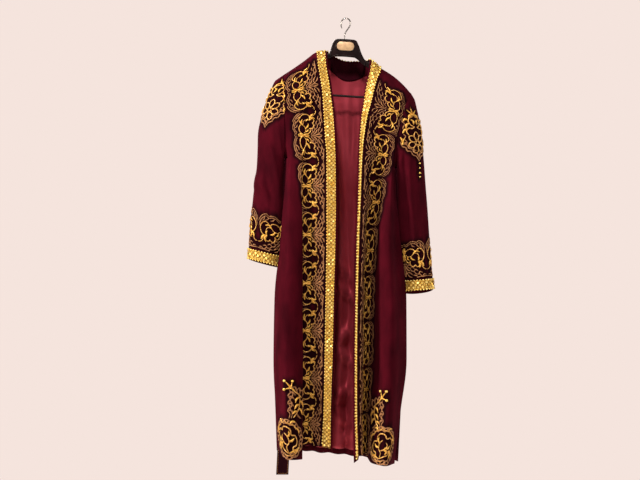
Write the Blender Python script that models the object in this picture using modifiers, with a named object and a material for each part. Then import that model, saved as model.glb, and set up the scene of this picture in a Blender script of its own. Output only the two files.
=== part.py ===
"""Uzbek chapan robe, open at the front, hanging on a suit hanger.

Blender 4.5. Lengths are in millimetres here and become metres in the meshes.
The origin is the inside of the hook's top, +Z is up, and the front faces -Y.
"Right" and "left" are the wearer's, so the right front lies at negative X.

Each panel of cloth is a surface through cross-sections. A section is a short
row of named stations (x, y) from the side seam to the front edge, and a
monotone cubic carries every station smoothly from section to section. What is
sewn on a panel is a window of that panel's own surface, moved out.
"""
import math

import bmesh
import bpy
from mathutils import Matrix, Vector
from mathutils.bvhtree import BVHTree

MILLIMETRE = 0.001

CLOTH = 2.0              # velvet with its interlining
TRIM = 1.0               # braid, lining and facing
SEAM = 0.3               # gap between neighbouring pieces
SEAM_STRIP = 3.0         # width beside a seam where both pieces run level
RIDGE_FLAT = 5.0         # level strip on each side of the shoulder ridge

# ---------------------------------------------------------------- sections

# The levels run down the garment. The armhole angle is 0 at the shoulder tip
# and 180 at the underarm, and the back depth is how far back its panel lies.
LEVELS = ("ridge", "rim", "over", "yoke", "shoulder", "upper", "armpit_fold",
          "chest", "lower_chest", "underarm", "waist", "cuff", "hip", "thigh",
          "knee", "hem")
ARMHOLE_ANGLE = (0, 3, 13, 26, 41, 58, 77, 96, 120, 180)
BACK_DEPTH = (0, RIDGE_FLAT, 14, 24, 34, 42, 46, 48, 49, 50, 51, 52, 54, 55, 56, 56)
ROWS_PER_SPAN = (1, 1, 1, 1, 2, 1, 1, 1, 3, 2, 2, 2, 2, 2, 2)
FACING_ROWS = 5          # rows that the back neck facing reaches down
RIDGE, UNDERARM, HEM = 0, LEVELS.index("underarm"), len(LEVELS) - 1
HEM_STARTS = LEVELS.index("thigh")
UNDERARM_EASE = 1.0      # how far the side seams stop short at the underarm

STATIONS = ("side", "bulge", "fold", "tuck", "band", "crown", "brow", "heel", "edge")
COLUMNS_PER_SPAN = (4, 3, 3, 3, 2, 2, 2, 1)
CROWN = 11               # the crown lies this far outside the brow

# Front panels: z of the front edge at each level, then (x, y) of the stations
# from bulge to edge. The side station comes from the armhole above the
# underarm and from the side seam below it.
RIGHT_FRONT = {
    "z": (-100, -100.1, -106, -120, -145, -190, -240, -302, -371, -426, -553,
          -674, -856, -1037, -1189, -1310),
    "bulge": ((-168, 0), (-168, -5), (-168, -16), (-168, -27), (-167, -36),
              (-166, -43), (-165, -45), (-163, -46), (-164, -47), (-166, -47),
              (-170, -56), (-174, -63), (-178, -69), (-180, -73), (-178, -77),
              (-175, -81)),
    "fold": ((-148, 0), (-148, -5), (-148, -15), (-148, -26), (-147, -35),
             (-145, -42), (-142, -46), (-139, -46), (-137, -48), (-138, -49),
             (-134, -48), (-131, -46), (-131, -45), (-130, -45), (-131, -47),
             (-132, -49)),
    "tuck": ((-128, 0), (-128, -5), (-128, -14), (-128, -25), (-127, -33),
             (-123, -39), (-119, -43), (-118, -43), (-121, -42), (-128, -40),
             (-140, -36), (-150, -31), (-157, -29), (-160, -28), (-160, -29),
             (-161, -31)),
    "band": ((-108, 0), (-108, -5), (-108, -14), (-108, -24), (-106, -31),
             (-100, -36), (-95, -40), (-93, -40), (-95, -40), (-98, -38),
             (-108, -32), (-112, -25), (-114, -19), (-115, -17), (-116, -17),
             (-118, -17)),
    "brow": ((-88, 0), (-88, -5), (-87, -13), (-86, -22), (-84, -28),
             (-76, -32), (-70, -35), (-66, -36), (-62, -37), (-58, -38),
             (-58, -38), (-58, -34), (-61, -31), (-64, -30), (-67, -30),
             (-73, -30)),
    "heel": ((-65, 0), (-65, -5), (-64, -12), (-63, -20), (-61, -25),
             (-53, -28), (-46, -31), (-39, -32), (-35, -33), (-33, -33),
             (-32, -33), (-33, -31), (-38, -28), (-42, -27), (-47, -27),
             (-48, -27)),
    "edge": ((-59, 0), (-59, -5), (-58, -12), (-57, -19), (-54, -24),
             (-46, -27), (-39, -30), (-32, -31), (-28, -32), (-26, -32),
             (-25, -32), (-27, -30), (-32, -27), (-36, -26), (-41, -26),
             (-41, -26)),
    "side": {"underarm": (-186, 0), "waist": (-189, -7), "cuff": (-198, -12),
             "hip": (-217, -8), "thigh": (-220, -5), "knee": (-215, -2),
             "hem": (-211, 0)},
    "hem": (4, -21, -24, -6, 12, 11, 10, 4, -3),
}
LEFT_FRONT = {
    "z": (-125, -125.1, -131, -145, -170, -215, -260, -302, -386, -456, -553,
          -674, -856, -1037, -1189, -1335),
    "bulge": ((177, 0), (177, -5), (177, -16), (176, -27), (172, -36),
              (158, -43), (153, -45), (150, -46), (144, -47), (137, -48),
              (133, -54), (129, -60), (134, -66), (133, -70), (124, -74),
              (112, -78)),
    "fold": ((160, 0), (160, -5), (160, -15), (159, -26), (156, -35),
             (142, -42), (137, -45), (134, -46), (129, -43), (121, -40),
             (111, -38), (99, -36), (96, -36), (93, -36), (82, -38),
             (76, -41)),
    "tuck": ((142, 0), (142, -5), (142, -14), (141, -25), (138, -33),
             (124, -40), (119, -43), (115, -44), (113, -38), (107, -32),
             (97, -24), (83, -14), (79, -8), (76, -6), (65, -7), (62, -9)),
    "band": ((123, 0), (123, -5), (123, -14), (122, -24), (117, -31),
             (105, -40), (98, -43), (91, -46), (86, -46), (79, -44),
             (69, -42), (60, -38), (55, -37), (54, -37), (49, -38), (48, -39)),
    "brow": ((104, 0), (104, -5), (103, -13), (102, -22), (94, -28),
             (84, -38), (75, -44), (64, -49), (52, -55), (47.5, -58),
             (44, -62), (39.6, -66), (35, -70), (33, -72), (33, -72),
             (36.5, -72)),
    "heel": ((78, 0), (78, -5), (78, -12), (76, -20), (72, -25), (62, -29),
             (56, -28), (50, -27), (45, -28), (44, -30), (41, -34), (37, -38),
             (33, -42), (31, -44), (31, -44), (34.5, -45)),
    "edge": ((72, 0), (72, -5), (72, -12), (70, -19), (66, -24), (57, -28),
             (51, -26), (44, -25), (37, -26), (34, -28), (31, -32), (25, -36),
             (22, -40), (20, -42), (20, -42), (23, -43)),
    "side": {"underarm": (156, 0), "waist": (156, -7), "cuff": (166, -12),
             "hip": (184, -8), "thigh": (185, -5), "knee": (167, -2),
             "hem": (148, 0)},
    "hem": (-20, -15, -12, 3, 13, 14, 14, -2, -12),
}

# Shoulder ridge, from the armhole's tip in to the neck point: (x, z).
RIGHT_RIDGE = ((-190, -171), (-156, -149), (-122, -125), (-88, -102), (-59, -100))
LEFT_RIDGE = ((72, -125), (104, -149), (143, -174), (171, -198), (197, -226))

NECK_DROP = 13.0         # sag of the back neck edge
NECK_DEPTH = 32.0        # how far it stands behind the shoulder ridge
NECK_ROUNDNESS = 2.5     # exponent of its superellipse
NECK_RIM = 3.0           # drop of its level rim
NECK_LEVELS = 6          # levels over which the back loses that curve

# Stations of the back: x at the shoulders, share across it below the underarm,
# and depth of its vertical fold at the hem.
BACK_STATIONS = ((-140, .085, 0), (-112, .17, 20), (-85, .25, 0), (-59, .33, 25),
                 (-47, .415, 0), (6, .5, 19), (60, .58, 0), (72, .66, 26),
                 (104, .74, 0), (136, .82, 21), (162, .91, 0))
BACK_TURN = (27, 36)     # the back lies flat this far in, above and below the underarm
BACK_COLUMNS = (1, 2) + (1,) + (2,) * (len(BACK_STATIONS) - 1) + (1,) + (2, 1)
BACK_HEM = {"right": -1315, "left": -1351, "vent_x": 160, "vent_y": 12}

# Sleeves: rings from the armhole to the cuff. outer and inner are the ring's
# ends in the front view, centre their y, half the ring's half depth, and bow
# the hollow of its chord. The strip beside the armhole seam falls by SEAM_FALL.
RING = ("outer_x", "outer_z", "inner_x", "inner_z", "centre", "half", "bow")
SEAM_FALL = {"right": .7, "left": 1.1}
CUFF_DROP = {"right": 5, "left": 12}   # how much lower the back of each cuff ends
RIGHT_SLEEVE = (
    (-190, -171, -186, -426, 0, 44, 2),
    (-215, -188, -189, -431, 1, 46, 1),
    (-228, -214, -188.9, -437, 3, 48, 0),
    (-245, -259, -187.6, -444, 8, 49, 0),
    (-260, -305, -187, -455, 12, 49, 0),
    (-269, -351, -186.8, -474, 14, 49, 0),
    (-270.5, -406, -186.2, -498, 17, 48.5, 0),
    (-273.5, -458, -185.7, -526, 18, 47, 0),
    (-282, -502, -185.7, -556, 19, 45, 0),
    (-283.5, -537, -186.8, -587, 19, 44, 0),
    (-289.5, -598, -189, -638, 18, 43, 0),
    (-294.5, -662, -195.2, -696, 18, 42, 0),
    (-297, -700, -199.4, -725, 18, 41, 0),
    (-298, -729, -203.2, -753, 18, 41, 0),
    (-298, -732, -203.2, -757, 18, 41, 0),
)
LEFT_SLEEVE = (
    (197, -226, 156, -456, 0, 44, 15),
    (209, -245, 159, -462, 1, 46, 11),
    (217, -276, 158.8, -469, 3, 48, 7),
    (225, -312, 157, -479, 7, 49, 4),
    (231, -353, 155.6, -494, 11, 49, 2),
    (236, -403, 154.6, -515, 14, 49, 0),
    (240.5, -454, 154, -545, 17, 48, 0),
    (245, -515, 154.3, -580, 18, 46.5, 0),
    (250, -576, 156.2, -620, 19, 45, 0),
    (254, -637, 160, -665, 18, 44, 0),
    (258, -698, 166.2, -712, 18, 43, 0),
    (262, -759, 172.8, -766, 18, 42, 0),
    (266, -793, 176.6, -799, 18, 42, 0),
    (268, -821, 178.4, -828, 18, 42, 0),
    (268, -824, 178.4, -832, 18, 42, 0),
)
SLEEVE_ROUNDNESS = 2.3   # exponent of the rings' superellipse
CUFF_BRAID_ROWS = (-2, -1)

# Hanger sections along X. With no top the arm lies close under the shoulder.
HANGER = ("x", "top", "height", "half", "corner")
HANGER_SECTIONS = (
    (-178, -168.2, 17, 7, 6),
    (-168, None, 22, 9, 7),
    (-140, None, 28, 10, 8),
    (-110, None, 32, 10, 8),
    (-88, -106.2, 34, 10, 7),
    (-66, None, 25, 8, 6),
    (-51, -105, 16, 7, 5),
    (-46, -92, 28, 7, 4),
    (-42, -77, 41, 7, 4),
    (-33, -64, 51, 7, 4),
    (-26, -61, 53.5, 7, 4),
    (26, -64, 54, 7, 4),
    (33, -68, 54, 7, 4),
    (40, -83, 45, 7, 4),
    (46, -102, 32, 7, 4),
    (60, -127, 18, 7, 5),
    (80, None, 25, 8, 6),
    (104, None, 31, 10, 7),
    (130, None, 30, 10, 8),
    (158, None, 26, 10, 8),
    (176, None, 21, 9, 7),
    (184, -218, 16, 7, 6),
)
ARM_CLEARANCE = .25      # added to the seam gap where the arm is straight
HANGER_TILT = math.radians(3.5)
BADGE = {"centre": (-1.5, -84), "width": 52, "height": 26, "thickness": .8}
BAR = {"reach": 150, "z": -235.5, "radius": 3.5, "bend": 10}
HOOK_WIRE = 1.9
# The hook's centre line: from the tip over the top and down to the stem.
HOOK_ROUTE = ((-12, -29), (-14.5, -21), (-13.9, -12), (-9.8, -2.2), (0, HOOK_WIRE),
              (9.8, -2.2), (13.9, -12), (12, -21), (6.5, -30), (0, -39),
              (-3.4, -48), (-3.8, -61.8))

# Belt, folded over the loop at the right side seam.
BELT = {"width": 38, "thickness": 3, "top_x": -158, "low_x": -196, "bridge_z": -612,
        "inner_y": 58.2, "fold_radius": 4.2, "inner_end": -1285, "outer_end": -1401}
LOOP = {"width": 7, "thickness": 1.6, "left_x": 121, "left_y": 62}

# ---------------------------------------------------------------- curves


def monotone(knots, values, at):
    """Cubic through the values that never overshoots them."""
    steps = [b - a for a, b in zip(knots, knots[1:])]
    slopes = [(b - a) / h for a, b, h in zip(values, values[1:], steps)]
    inner = [2 * a * b / (a + b) if a * b > 0 else 0 for a, b in zip(slopes, slopes[1:])]
    tangents = [slopes[0]] + inner + [slopes[-1]]
    span = 0
    while span < len(steps) - 1 and at > knots[span + 1]:
        span += 1
    step = steps[span]
    t = min(max((at - knots[span]) / step, 0), 1)
    rest = 1 - t
    return (values[span] * (1 + 2 * t) * rest * rest
            + values[span + 1] * (3 - 2 * t) * t * t
            + tangents[span] * step * t * rest * rest
            - tangents[span + 1] * step * t * t * rest)


def along_levels(values, level):
    return monotone(range(len(values)), values, level)


def level_rows():
    """Level numbers of every row of a panel's grid, whole ones at the tables'."""
    rows = [0.0]
    for span, count in enumerate(ROWS_PER_SPAN):
        rows += [span + step / count for step in range(1, count + 1)]
    return rows


def mix(a, b, share):
    return a + (b - a) * share


def through(points, counts):
    """Points of a smooth curve through the stations, counts[k] to each span."""
    lengths = [0.0]
    for a, b in zip(points, points[1:]):
        lengths.append(lengths[-1] + max((b - a).length, 1e-3))
    places = [lengths[0]]
    for a, b, count in zip(lengths, lengths[1:], counts):
        places += [mix(a, b, step / count) for step in range(1, count + 1)]
    axes = [[point[axis] for point in points] for axis in range(3)]
    return [Vector([monotone(lengths, axis, at) for axis in axes]) for at in places]


# ---------------------------------------------------------------- cloth forms


def ring_point(ring, height, face):
    """A sleeve ring's point at a height from -1 (inner) to 1 (outer)."""
    row = dict(zip(RING, ring))
    bulk = (1 - min(abs(height), 1) ** SLEEVE_ROUNDNESS) ** (1 / SLEEVE_ROUNDNESS)
    x = mix(row["inner_x"], row["outer_x"], (height + 1) / 2)
    x -= math.copysign(row["bow"], row["outer_x"]) * bulk * bulk
    z = mix(row["inner_z"], row["outer_z"], (height + 1) / 2)
    return Vector((x, row["centre"] + face * row["half"] * bulk, z))


def armhole_angles():
    """Angles of the rows from the shoulder tip to the underarm."""
    return [along_levels(ARMHOLE_ANGLE, row) for row in level_rows() if row <= UNDERARM]


def ring_height(angle):
    """Height on a ring, from 1 at angle 0 to -1 at angle 180."""
    level = math.cos(math.radians(angle))
    return math.copysign(abs(level) ** (2 / SLEEVE_ROUNDNESS), level)


def armhole_point(sleeve, level, face):
    """The panel's side of the armhole seam."""
    angle = along_levels(ARMHOLE_ANGLE, level)
    point = ring_point(sleeve[0], ring_height(angle), face)
    point.x -= math.copysign(SEAM / 2, point.x)
    point.y = face * max(abs(point.y), SEAM / 2)
    return point


def ridge_z(x):
    if x < RIGHT_RIDGE[-1][0]:
        return monotone(*zip(*RIGHT_RIDGE), x)
    if x > LEFT_RIDGE[0][0]:
        return monotone(*zip(*LEFT_RIDGE), x)
    across = (x - RIGHT_RIDGE[-1][0]) / (LEFT_RIDGE[0][0] - RIGHT_RIDGE[-1][0])
    line = mix(RIGHT_RIDGE[-1][1], LEFT_RIDGE[0][1], across)
    return line - NECK_DROP * math.sin(math.pi * across)


def neck_curve(x):
    """1 in the middle of the back neck, 0 from the neck points outwards."""
    across = (x - RIGHT_RIDGE[-1][0]) / (LEFT_RIDGE[0][0] - RIGHT_RIDGE[-1][0])
    away = min(abs(2 * across - 1), 1)
    return (1 - away ** NECK_ROUNDNESS) ** (1 / NECK_ROUNDNESS)


def side_place(front, level):
    """Side seam below the underarm: (x, y)."""
    seam = list(front["side"].values())
    return [monotone(range(len(seam)), [p[axis] for p in seam], level - UNDERARM)
            for axis in (0, 1)]


def seam_strip(sleeve, angle):
    """The way across the strip that lies on each side of the armhole seam."""
    side = "right" if sleeve[0][0] < 0 else "left"
    fall = SEAM_FALL[side] * max(0.0, math.cos(math.radians(angle)))
    way = Vector((math.copysign(1, sleeve[0][0]), 0, -fall))
    return way.normalized() * SEAM_STRIP


def seam_start(front, sleeve, level, face):
    """The side of a row, and the point beside it where the seam strip ends."""
    across = Vector((0, face * SEAM_STRIP, 0))
    if level < UNDERARM:
        side = armhole_point(sleeve, level, face)
        return side, side - seam_strip(sleeve, along_levels(ARMHOLE_ANGLE, level))
    if level == UNDERARM:
        side = armhole_point(sleeve, level, face)
        side.y = face * UNDERARM_EASE
        return side, side + across
    x, y = side_place(front, level)
    side = Vector((x, y + face * SEAM / 2, along_levels(front["z"], level)))
    return side, side + across


def hem_share(level):
    return max(0.0, (level - HEM_STARTS) / (HEM - HEM_STARTS)) ** 2


def slope_share(front, sleeve, level):
    """How far a level still follows the shoulder's slope."""
    if level >= UNDERARM:
        return 0.0
    drop = sleeve[0][RING.index("outer_z")] - front["z"][RIDGE]
    return (armhole_point(sleeve, level, -1).z - along_levels(front["z"], level)) / drop


def front_section(front, sleeve, level):
    """One row of a front panel: the seam strip, then the stations' curve."""
    z_edge = along_levels(front["z"], level)
    slope = slope_share(front, sleeve, level)
    places = {station: [along_levels([p[axis] for p in front[station]], level)
                        for axis in (0, 1)]
              for station in STATIONS if station not in ("side", "crown")}
    brow, band = places["brow"], places["band"]
    places["crown"] = (brow[0] + math.copysign(CROWN, sleeve[0][0]),
                       mix(brow[1], band[1], .1))
    points = []
    for station, hem in list(zip(STATIONS, front["hem"]))[1:]:
        x, y = places[station]
        z = z_edge + slope * (ridge_z(x) - front["z"][RIDGE]) + hem * hem_share(level)
        points.append(Vector((x, min(y, -SEAM / 2), z)))
    side, strip = seam_start(front, sleeve, level, -1)
    for point in (side, strip):
        point.z += front["hem"][0] * hem_share(level)
    return [side] + through([strip] + points, COLUMNS_PER_SPAN)


def back_section(level):
    """One row of the back panel, from the right side seam to the left."""
    ends = []
    for front, sleeve, key in ((RIGHT_FRONT, RIGHT_SLEEVE, "right"),
                               (LEFT_FRONT, LEFT_SLEEVE, "left")):
        side, strip = seam_start(front, sleeve, level, 1)
        for point in (side, strip):
            point.z += (BACK_HEM[key] - front["z"][HEM]) * hem_share(level)
        ends.append((side, strip))
    (right, right_strip), (left, left_strip) = ends
    opened = max(0, level - HEM + 1)
    for point in (left, left_strip):
        point.x += (BACK_HEM["vent_x"] - LEFT_FRONT["side"]["hem"][0]) * opened
        point.y += (BACK_HEM["vent_y"] - LEFT_FRONT["side"]["hem"][1]) * opened
    depth = along_levels(BACK_DEPTH, level)
    slope = (slope_share(RIGHT_FRONT, RIGHT_SLEEVE, level)
             + slope_share(LEFT_FRONT, LEFT_SLEEVE, level)) / 2
    neck = max(0.0, 1 - (level / NECK_LEVELS) ** 1.1)
    lower = min(max((level - LEVELS.index("yoke")) / (UNDERARM - LEVELS.index("yoke")), 0), 1)
    fold_share = max(0.0, (level - NECK_LEVELS) / (HEM - NECK_LEVELS))

    def place(x, turn=1.0, fold=0.0):
        share = (x - right.x) / (left.x - right.x)
        line = mix(RIGHT_RIDGE[0][1], LEFT_RIDGE[-1][1], share)
        z = mix(right.z, left.z, share) + slope * (ridge_z(x) - line)
        y = mix(mix(right_strip.y, left_strip.y, share), depth, turn)
        y += neck_curve(x) * neck * NECK_DEPTH - fold * fold_share
        z -= neck_curve(x) * neck * NECK_RIM * min(level, 1)
        return Vector((x, max(y, SEAM / 2), z))

    below = min(max((level - NECK_LEVELS) / (UNDERARM - NECK_LEVELS), 0), 1)
    turn_in = mix(*BACK_TURN, below)
    side_share = mix(.22, .3, below)
    flat_right, flat_left = right.x + turn_in, left.x - turn_in
    points = [right_strip, place(mix(right.x, flat_right, side_share), .45), place(flat_right, .9)]
    for shoulder_x, share, fold in BACK_STATIONS:
        x = mix(shoulder_x, mix(flat_right, flat_left, share), lower)
        points.append(place(x, 1, fold))
    points += [place(flat_left, .9), place(mix(left.x, flat_left, side_share), .45), left_strip]
    return [right] + through(points, BACK_COLUMNS) + [left]


def cuff_drop(sleeve, point):
    """How far a point of the cuff's edge lies lower because it is at the back."""
    row = dict(zip(RING, sleeve[-1]))
    side = "right" if row["outer_x"] < 0 else "left"
    back = max(0.0, (point.y - row["centre"]) / row["half"])
    return Vector((0, 0, CUFF_DROP[side] * back))


def sleeve_grid(sleeve):
    """Rings of a sleeve; the first two run level beside the armhole seam."""
    outward = math.copysign(1, sleeve[0][0])
    angles = armhole_angles()
    around = [(angle, -1) for angle in angles] + [(angle, 1) for angle in angles[-2::-1]]
    rings = []
    for number, ring in enumerate(sleeve):
        points = [ring_point(ring, ring_height(angle), face) for angle, face in around]
        if number == 0:
            points = [point + Vector((outward * SEAM / 2, 0, 0)) for point in points]
            rings.append(points)
            rings.append([point + seam_strip(sleeve, angle)
                          for point, (angle, _) in zip(points, around)])
        elif number == len(sleeve) - 1:
            rings.append([point - cuff_drop(sleeve, point) for point in points])
        else:
            rings.append(points)
    return rings


# ---------------------------------------------------------------- objects


def finish(name, colour, roughness, metallic=0.0):
    material = bpy.data.materials.new(name)
    material.use_nodes = True
    shader = material.node_tree.nodes["Principled BSDF"]
    shader.inputs["Base Color"].default_value = (*colour, 1)
    shader.inputs["Roughness"].default_value = roughness
    shader.inputs["Metallic"].default_value = metallic
    return material


def add_object(name, mesh_builder, material, collection):
    mesh = bpy.data.meshes.new(name)
    mesh_builder.transform(Matrix.Scale(MILLIMETRE, 4))
    mesh_builder.to_mesh(mesh)
    mesh_builder.free()
    item = bpy.data.objects.new(name, mesh)
    item.data.materials.append(material)
    collection.objects.link(item)
    return item


def grid_surface(rows):
    """A Blender grid whose corners are moved to the given rows of points."""
    surface = bmesh.new()
    last_row, last_column = len(rows) - 1, len(rows[0]) - 1
    bmesh.ops.create_grid(surface, x_segments=last_column, y_segments=last_row, size=1)
    for vert in surface.verts:
        column = round((vert.co.x + 1) / 2 * last_column)
        row = round((vert.co.y + 1) / 2 * last_row)
        vert.co = rows[row][column]
    bmesh.ops.remove_doubles(surface, verts=surface.verts, dist=1e-4)
    return surface


def shell(name, rows, material, collection, thickness=CLOTH, lift=0.0, turned=False):
    """A cloth wall on the rows' surface: inside it, or outside by the lift.

    With no lift the wall lies under the surface. A positive lift puts it that
    far above the surface, a negative one that far below.
    """
    surface = grid_surface(rows)
    if turned:
        bmesh.ops.reverse_faces(surface, faces=surface.faces)
    item = add_object(name, surface, material, collection)
    wall = item.modifiers.new("wall", "SOLIDIFY")
    wall.thickness = thickness * MILLIMETRE
    wall.use_even_offset = True
    wall.use_quality_normals = True
    if lift > 0:
        wall.offset = 1 + 2 * lift / thickness
    else:
        wall.offset = -1 + 2 * lift / thickness
    return item


def window(rows, first_column, last_column, first_row=0, last_row=None):
    last_row = len(rows) - 1 if last_row is None else last_row
    return [row[first_column:last_column + 1] for row in rows[first_row:last_row + 1]]


def back_column(station):
    """Column of a numbered station of the back."""
    return 1 + sum(BACK_COLUMNS[:station + 3])


def station_column(name):
    """Column of a front panel's station, after the seam strip."""
    return 1 + sum(COLUMNS_PER_SPAN[:STATIONS.index(name)])


def hanger_profile():
    """Hanger sections with each arm's top set close under the shoulder."""
    sections = []
    for section in HANGER_SECTIONS:
        row = dict(zip(HANGER, section))
        if row["top"] is None:
            x = row["x"]
            rise = ridge_z(x + 1) - ridge_z(x - 1)
            below = (CLOTH + SEAM) * math.hypot(1, rise / 2) + ARM_CLEARANCE
            row["top"] = ridge_z(x) - below
        row["bottom"] = row["top"] - row["height"]
        sections.append(row)
    return sections


def rounded_ring(row):
    """Rounded rectangle in the Y-Z plane, from a hanger section."""
    middle = (row["top"] + row["bottom"]) / 2
    tall = (row["top"] - row["bottom"]) / 2
    ring = []
    for y_sign, z_sign, start in ((1, 1, 0), (-1, 1, 90), (-1, -1, 180), (1, -1, 270)):
        for step in range(3):
            angle = math.radians(start + 45 * step)
            y = y_sign * (row["half"] - row["corner"]) + row["corner"] * math.cos(angle)
            z = z_sign * (tall - row["corner"]) + row["corner"] * math.sin(angle)
            ring.append(Vector((row["x"], y, middle + z)))
    return ring + ring[:1]


def build_hanger(collection):
    black = finish("black_plastic", (.012, .010, .010), .35)
    steel = finish("steel_wire", (.45, .44, .42), .3, 1.0)
    tan = finish("badge_plate", (.43, .27, .16), .45)

    sections = hanger_profile()
    body = grid_surface([rounded_ring(section) for section in sections])
    bmesh.ops.holes_fill(body, edges=[e for e in body.edges if e.is_boundary], sides=0)
    bmesh.ops.recalc_face_normals(body, faces=body.faces)
    add_object("hanger_body", body, black, collection)

    plate = bmesh.new()
    bmesh.ops.create_cube(plate, size=1)
    corners = [e for e in plate.edges if abs(e.verts[0].co.y - e.verts[1].co.y) > .5]
    plate.transform(Matrix.Diagonal((BADGE["width"], BADGE["thickness"], BADGE["height"], 1)))
    bmesh.ops.bevel(plate, geom=corners, offset=BADGE["height"] * .42, segments=5,
                    profile=.5, affect="EDGES", material=-1)
    x, z = BADGE["centre"]
    plate_half = min(section["half"] for section in sections if abs(section["x"]) < 30)
    y = -plate_half - SEAM - BADGE["thickness"] / 2
    plate.transform(Matrix.Translation((x, y, z)) @ Matrix.Rotation(HANGER_TILT, 4, "Y"))
    add_object("hanger_badge", plate, tan, collection)

    build_bar(sections, black, collection)
    wire_object("hanger_hook", HOOK_ROUTE, HOOK_WIRE, steel, collection)


def build_bar(sections, material, collection):
    """Trouser bar: a rod with its ends turned up to the hanger's arms."""
    xs = [section["x"] for section in sections]
    bottoms = [section["bottom"] for section in sections]
    route = []
    for side in (-1, 1):
        x = side * BAR["reach"]
        low = BAR["z"] - x * math.tan(HANGER_TILT)
        arm = min(monotone(xs, bottoms, x + reach) for reach in (-BAR["radius"], BAR["radius"]))
        leg = [(x, arm - 2 * SEAM)]
        for step in range(5):
            angle = math.radians(90 * step / 4)
            leg.append((x - side * BAR["bend"] * (1 - math.cos(angle)),
                        low + BAR["bend"] * (1 - math.sin(angle))))
        route += leg if side < 0 else leg[::-1]
    wire_object("hanger_bar", route, BAR["radius"], material, collection)


def wire_object(name, route, radius, material, collection):
    curve = bpy.data.curves.new(name, "CURVE")
    curve.dimensions = "3D"
    curve.bevel_depth = radius * MILLIMETRE
    curve.bevel_resolution = 2
    curve.use_fill_caps = True
    line = curve.splines.new("POLY")
    line.points.add(len(route) - 1)
    for point, (x, z) in zip(line.points, route):
        point.co = (x * MILLIMETRE, 0, z * MILLIMETRE, 1)
    item = bpy.data.objects.new(name, curve)
    curve.materials.append(material)
    collection.objects.link(item)


def build_belt(material, collection, back_rows):
    """The belt over its bridge of thread, and both loops."""
    radius = BELT["fold_radius"]
    middle_y = BELT["inner_y"] + radius
    path = [(BELT["inner_y"], mix(BELT["bridge_z"], BELT["inner_end"], 1 - step / 8))
            for step in range(9)]
    for step in range(1, 8):
        angle = math.pi * (1 - step / 8)
        path.append((middle_y + radius * math.cos(angle),
                     BELT["bridge_z"] + radius * math.sin(angle)))
    path += [(middle_y + radius, mix(BELT["bridge_z"], BELT["outer_end"], step / 9))
             for step in range(10)]
    rows = []
    for y, z in path:
        down = (z - BELT["bridge_z"]) / (BELT["outer_end"] - BELT["bridge_z"])
        centre = mix(BELT["top_x"], BELT["low_x"], min(max(down, 0), 1))
        rows.append([Vector((centre + BELT["width"] * share, y, z))
                     for share in (-.5, 0, .5)])
    belt = shell("belt", rows, material, collection, BELT["thickness"], turned=True)
    belt.modifiers["wall"].offset = 0
    surface = grid_surface(back_rows)
    back = BVHTree.FromBMesh(surface)
    surface.free()
    reach = BELT["width"] / 2 + 2.5
    for name, centre, stand in (("belt_loop_right", BELT["top_x"], middle_y),
                                ("belt_loop_left", LOOP["left_x"], LOOP["left_y"])):
        build_loop(name, centre - reach, centre + reach, stand, back, material, collection)


def build_loop(name, low_x, high_x, stand, back, material, collection):
    """A flat thread loop standing on the back panel like a staple."""
    top = BELT["bridge_z"] - LOOP["thickness"] / 2
    half = LOOP["thickness"] / 2
    feet = []
    for x in (low_x, high_x):
        touching = [back.ray_cast(Vector((x + dx, 200, top - dz)), Vector((0, -1, 0)))[0].y
                    for dx in (-half, half) for dz in (0, LOOP["width"] / 2, LOOP["width"])]
        feet.append(max(touching) + SEAM)
    bend = 2 * LOOP["thickness"]
    route = [(low_x, feet[0]), (low_x, stand - bend), (low_x + bend, stand),
             (high_x - bend, stand), (high_x, stand - bend), (high_x, feet[1])]
    rows = [[Vector((x, y, top - LOOP["width"] * share)) for share in (0, 1)]
            for x, y in route]
    loop = shell(name, rows, material, collection, LOOP["thickness"])
    loop.modifiers["wall"].offset = 0


def build_robe(collection):
    velvet = finish("burgundy_velvet", (.080, .003, .009), .85)
    satin = finish("red_satin", (.190, .018, .030), .4)
    shade = finish("facing_velvet", (.019, .002, .004), .9)
    gold = finish("gold_braid", (.620, .340, .090), .45, .5)

    levels = level_rows()
    right = [front_section(RIGHT_FRONT, RIGHT_SLEEVE, level) for level in levels]
    left = [front_section(LEFT_FRONT, LEFT_SLEEVE, level) for level in levels]
    back = [back_section(level) for level in levels]
    shell("front_right", right, velvet, collection, turned=True)
    shell("front_left", left, velvet, collection)
    shell("back_panel", back, velvet, collection)

    last = len(back[0]) - 1
    inside = -(CLOTH + SEAM)
    lining = window(back, 4, last - 4, LEVELS.index("shoulder"))
    shell("back_lining", lining, satin, collection, TRIM, inside)
    facing = window(back, back_column(4), back_column(6), 1, FACING_ROWS)
    shell("neck_facing", facing, shade, collection, TRIM, inside - TRIM - SEAM)

    brow, heel = station_column("brow"), station_column("heel")
    for name, rows, turned in (("right", right, True), ("left", left, False)):
        shell("braid_front_" + name, window(rows, brow, heel), gold, collection,
              TRIM, SEAM, turned)
    nape = window(back, back_column(2), back_column(8), RIDGE, LEVELS.index("yoke"))
    shell("braid_neck", nape, gold, collection, TRIM, SEAM)

    for name, table, turned in (("right", RIGHT_SLEEVE, True), ("left", LEFT_SLEEVE, False)):
        rings = sleeve_grid(table)
        shell("sleeve_" + name, rings, velvet, collection, turned=turned)
        first, end = (len(rings) + row - 1 for row in CUFF_BRAID_ROWS)
        shell("braid_cuff_" + name, rings[first:end + 1], gold, collection, TRIM, SEAM, turned)
    build_belt(velvet, collection, back)


def main():
    for item in list(bpy.data.objects):
        bpy.data.objects.remove(item)
    collection = bpy.data.collections.new("uzbek_chapan_robe")
    bpy.context.scene.collection.children.link(collection)
    build_hanger(collection)
    build_robe(collection)


main()
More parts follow.
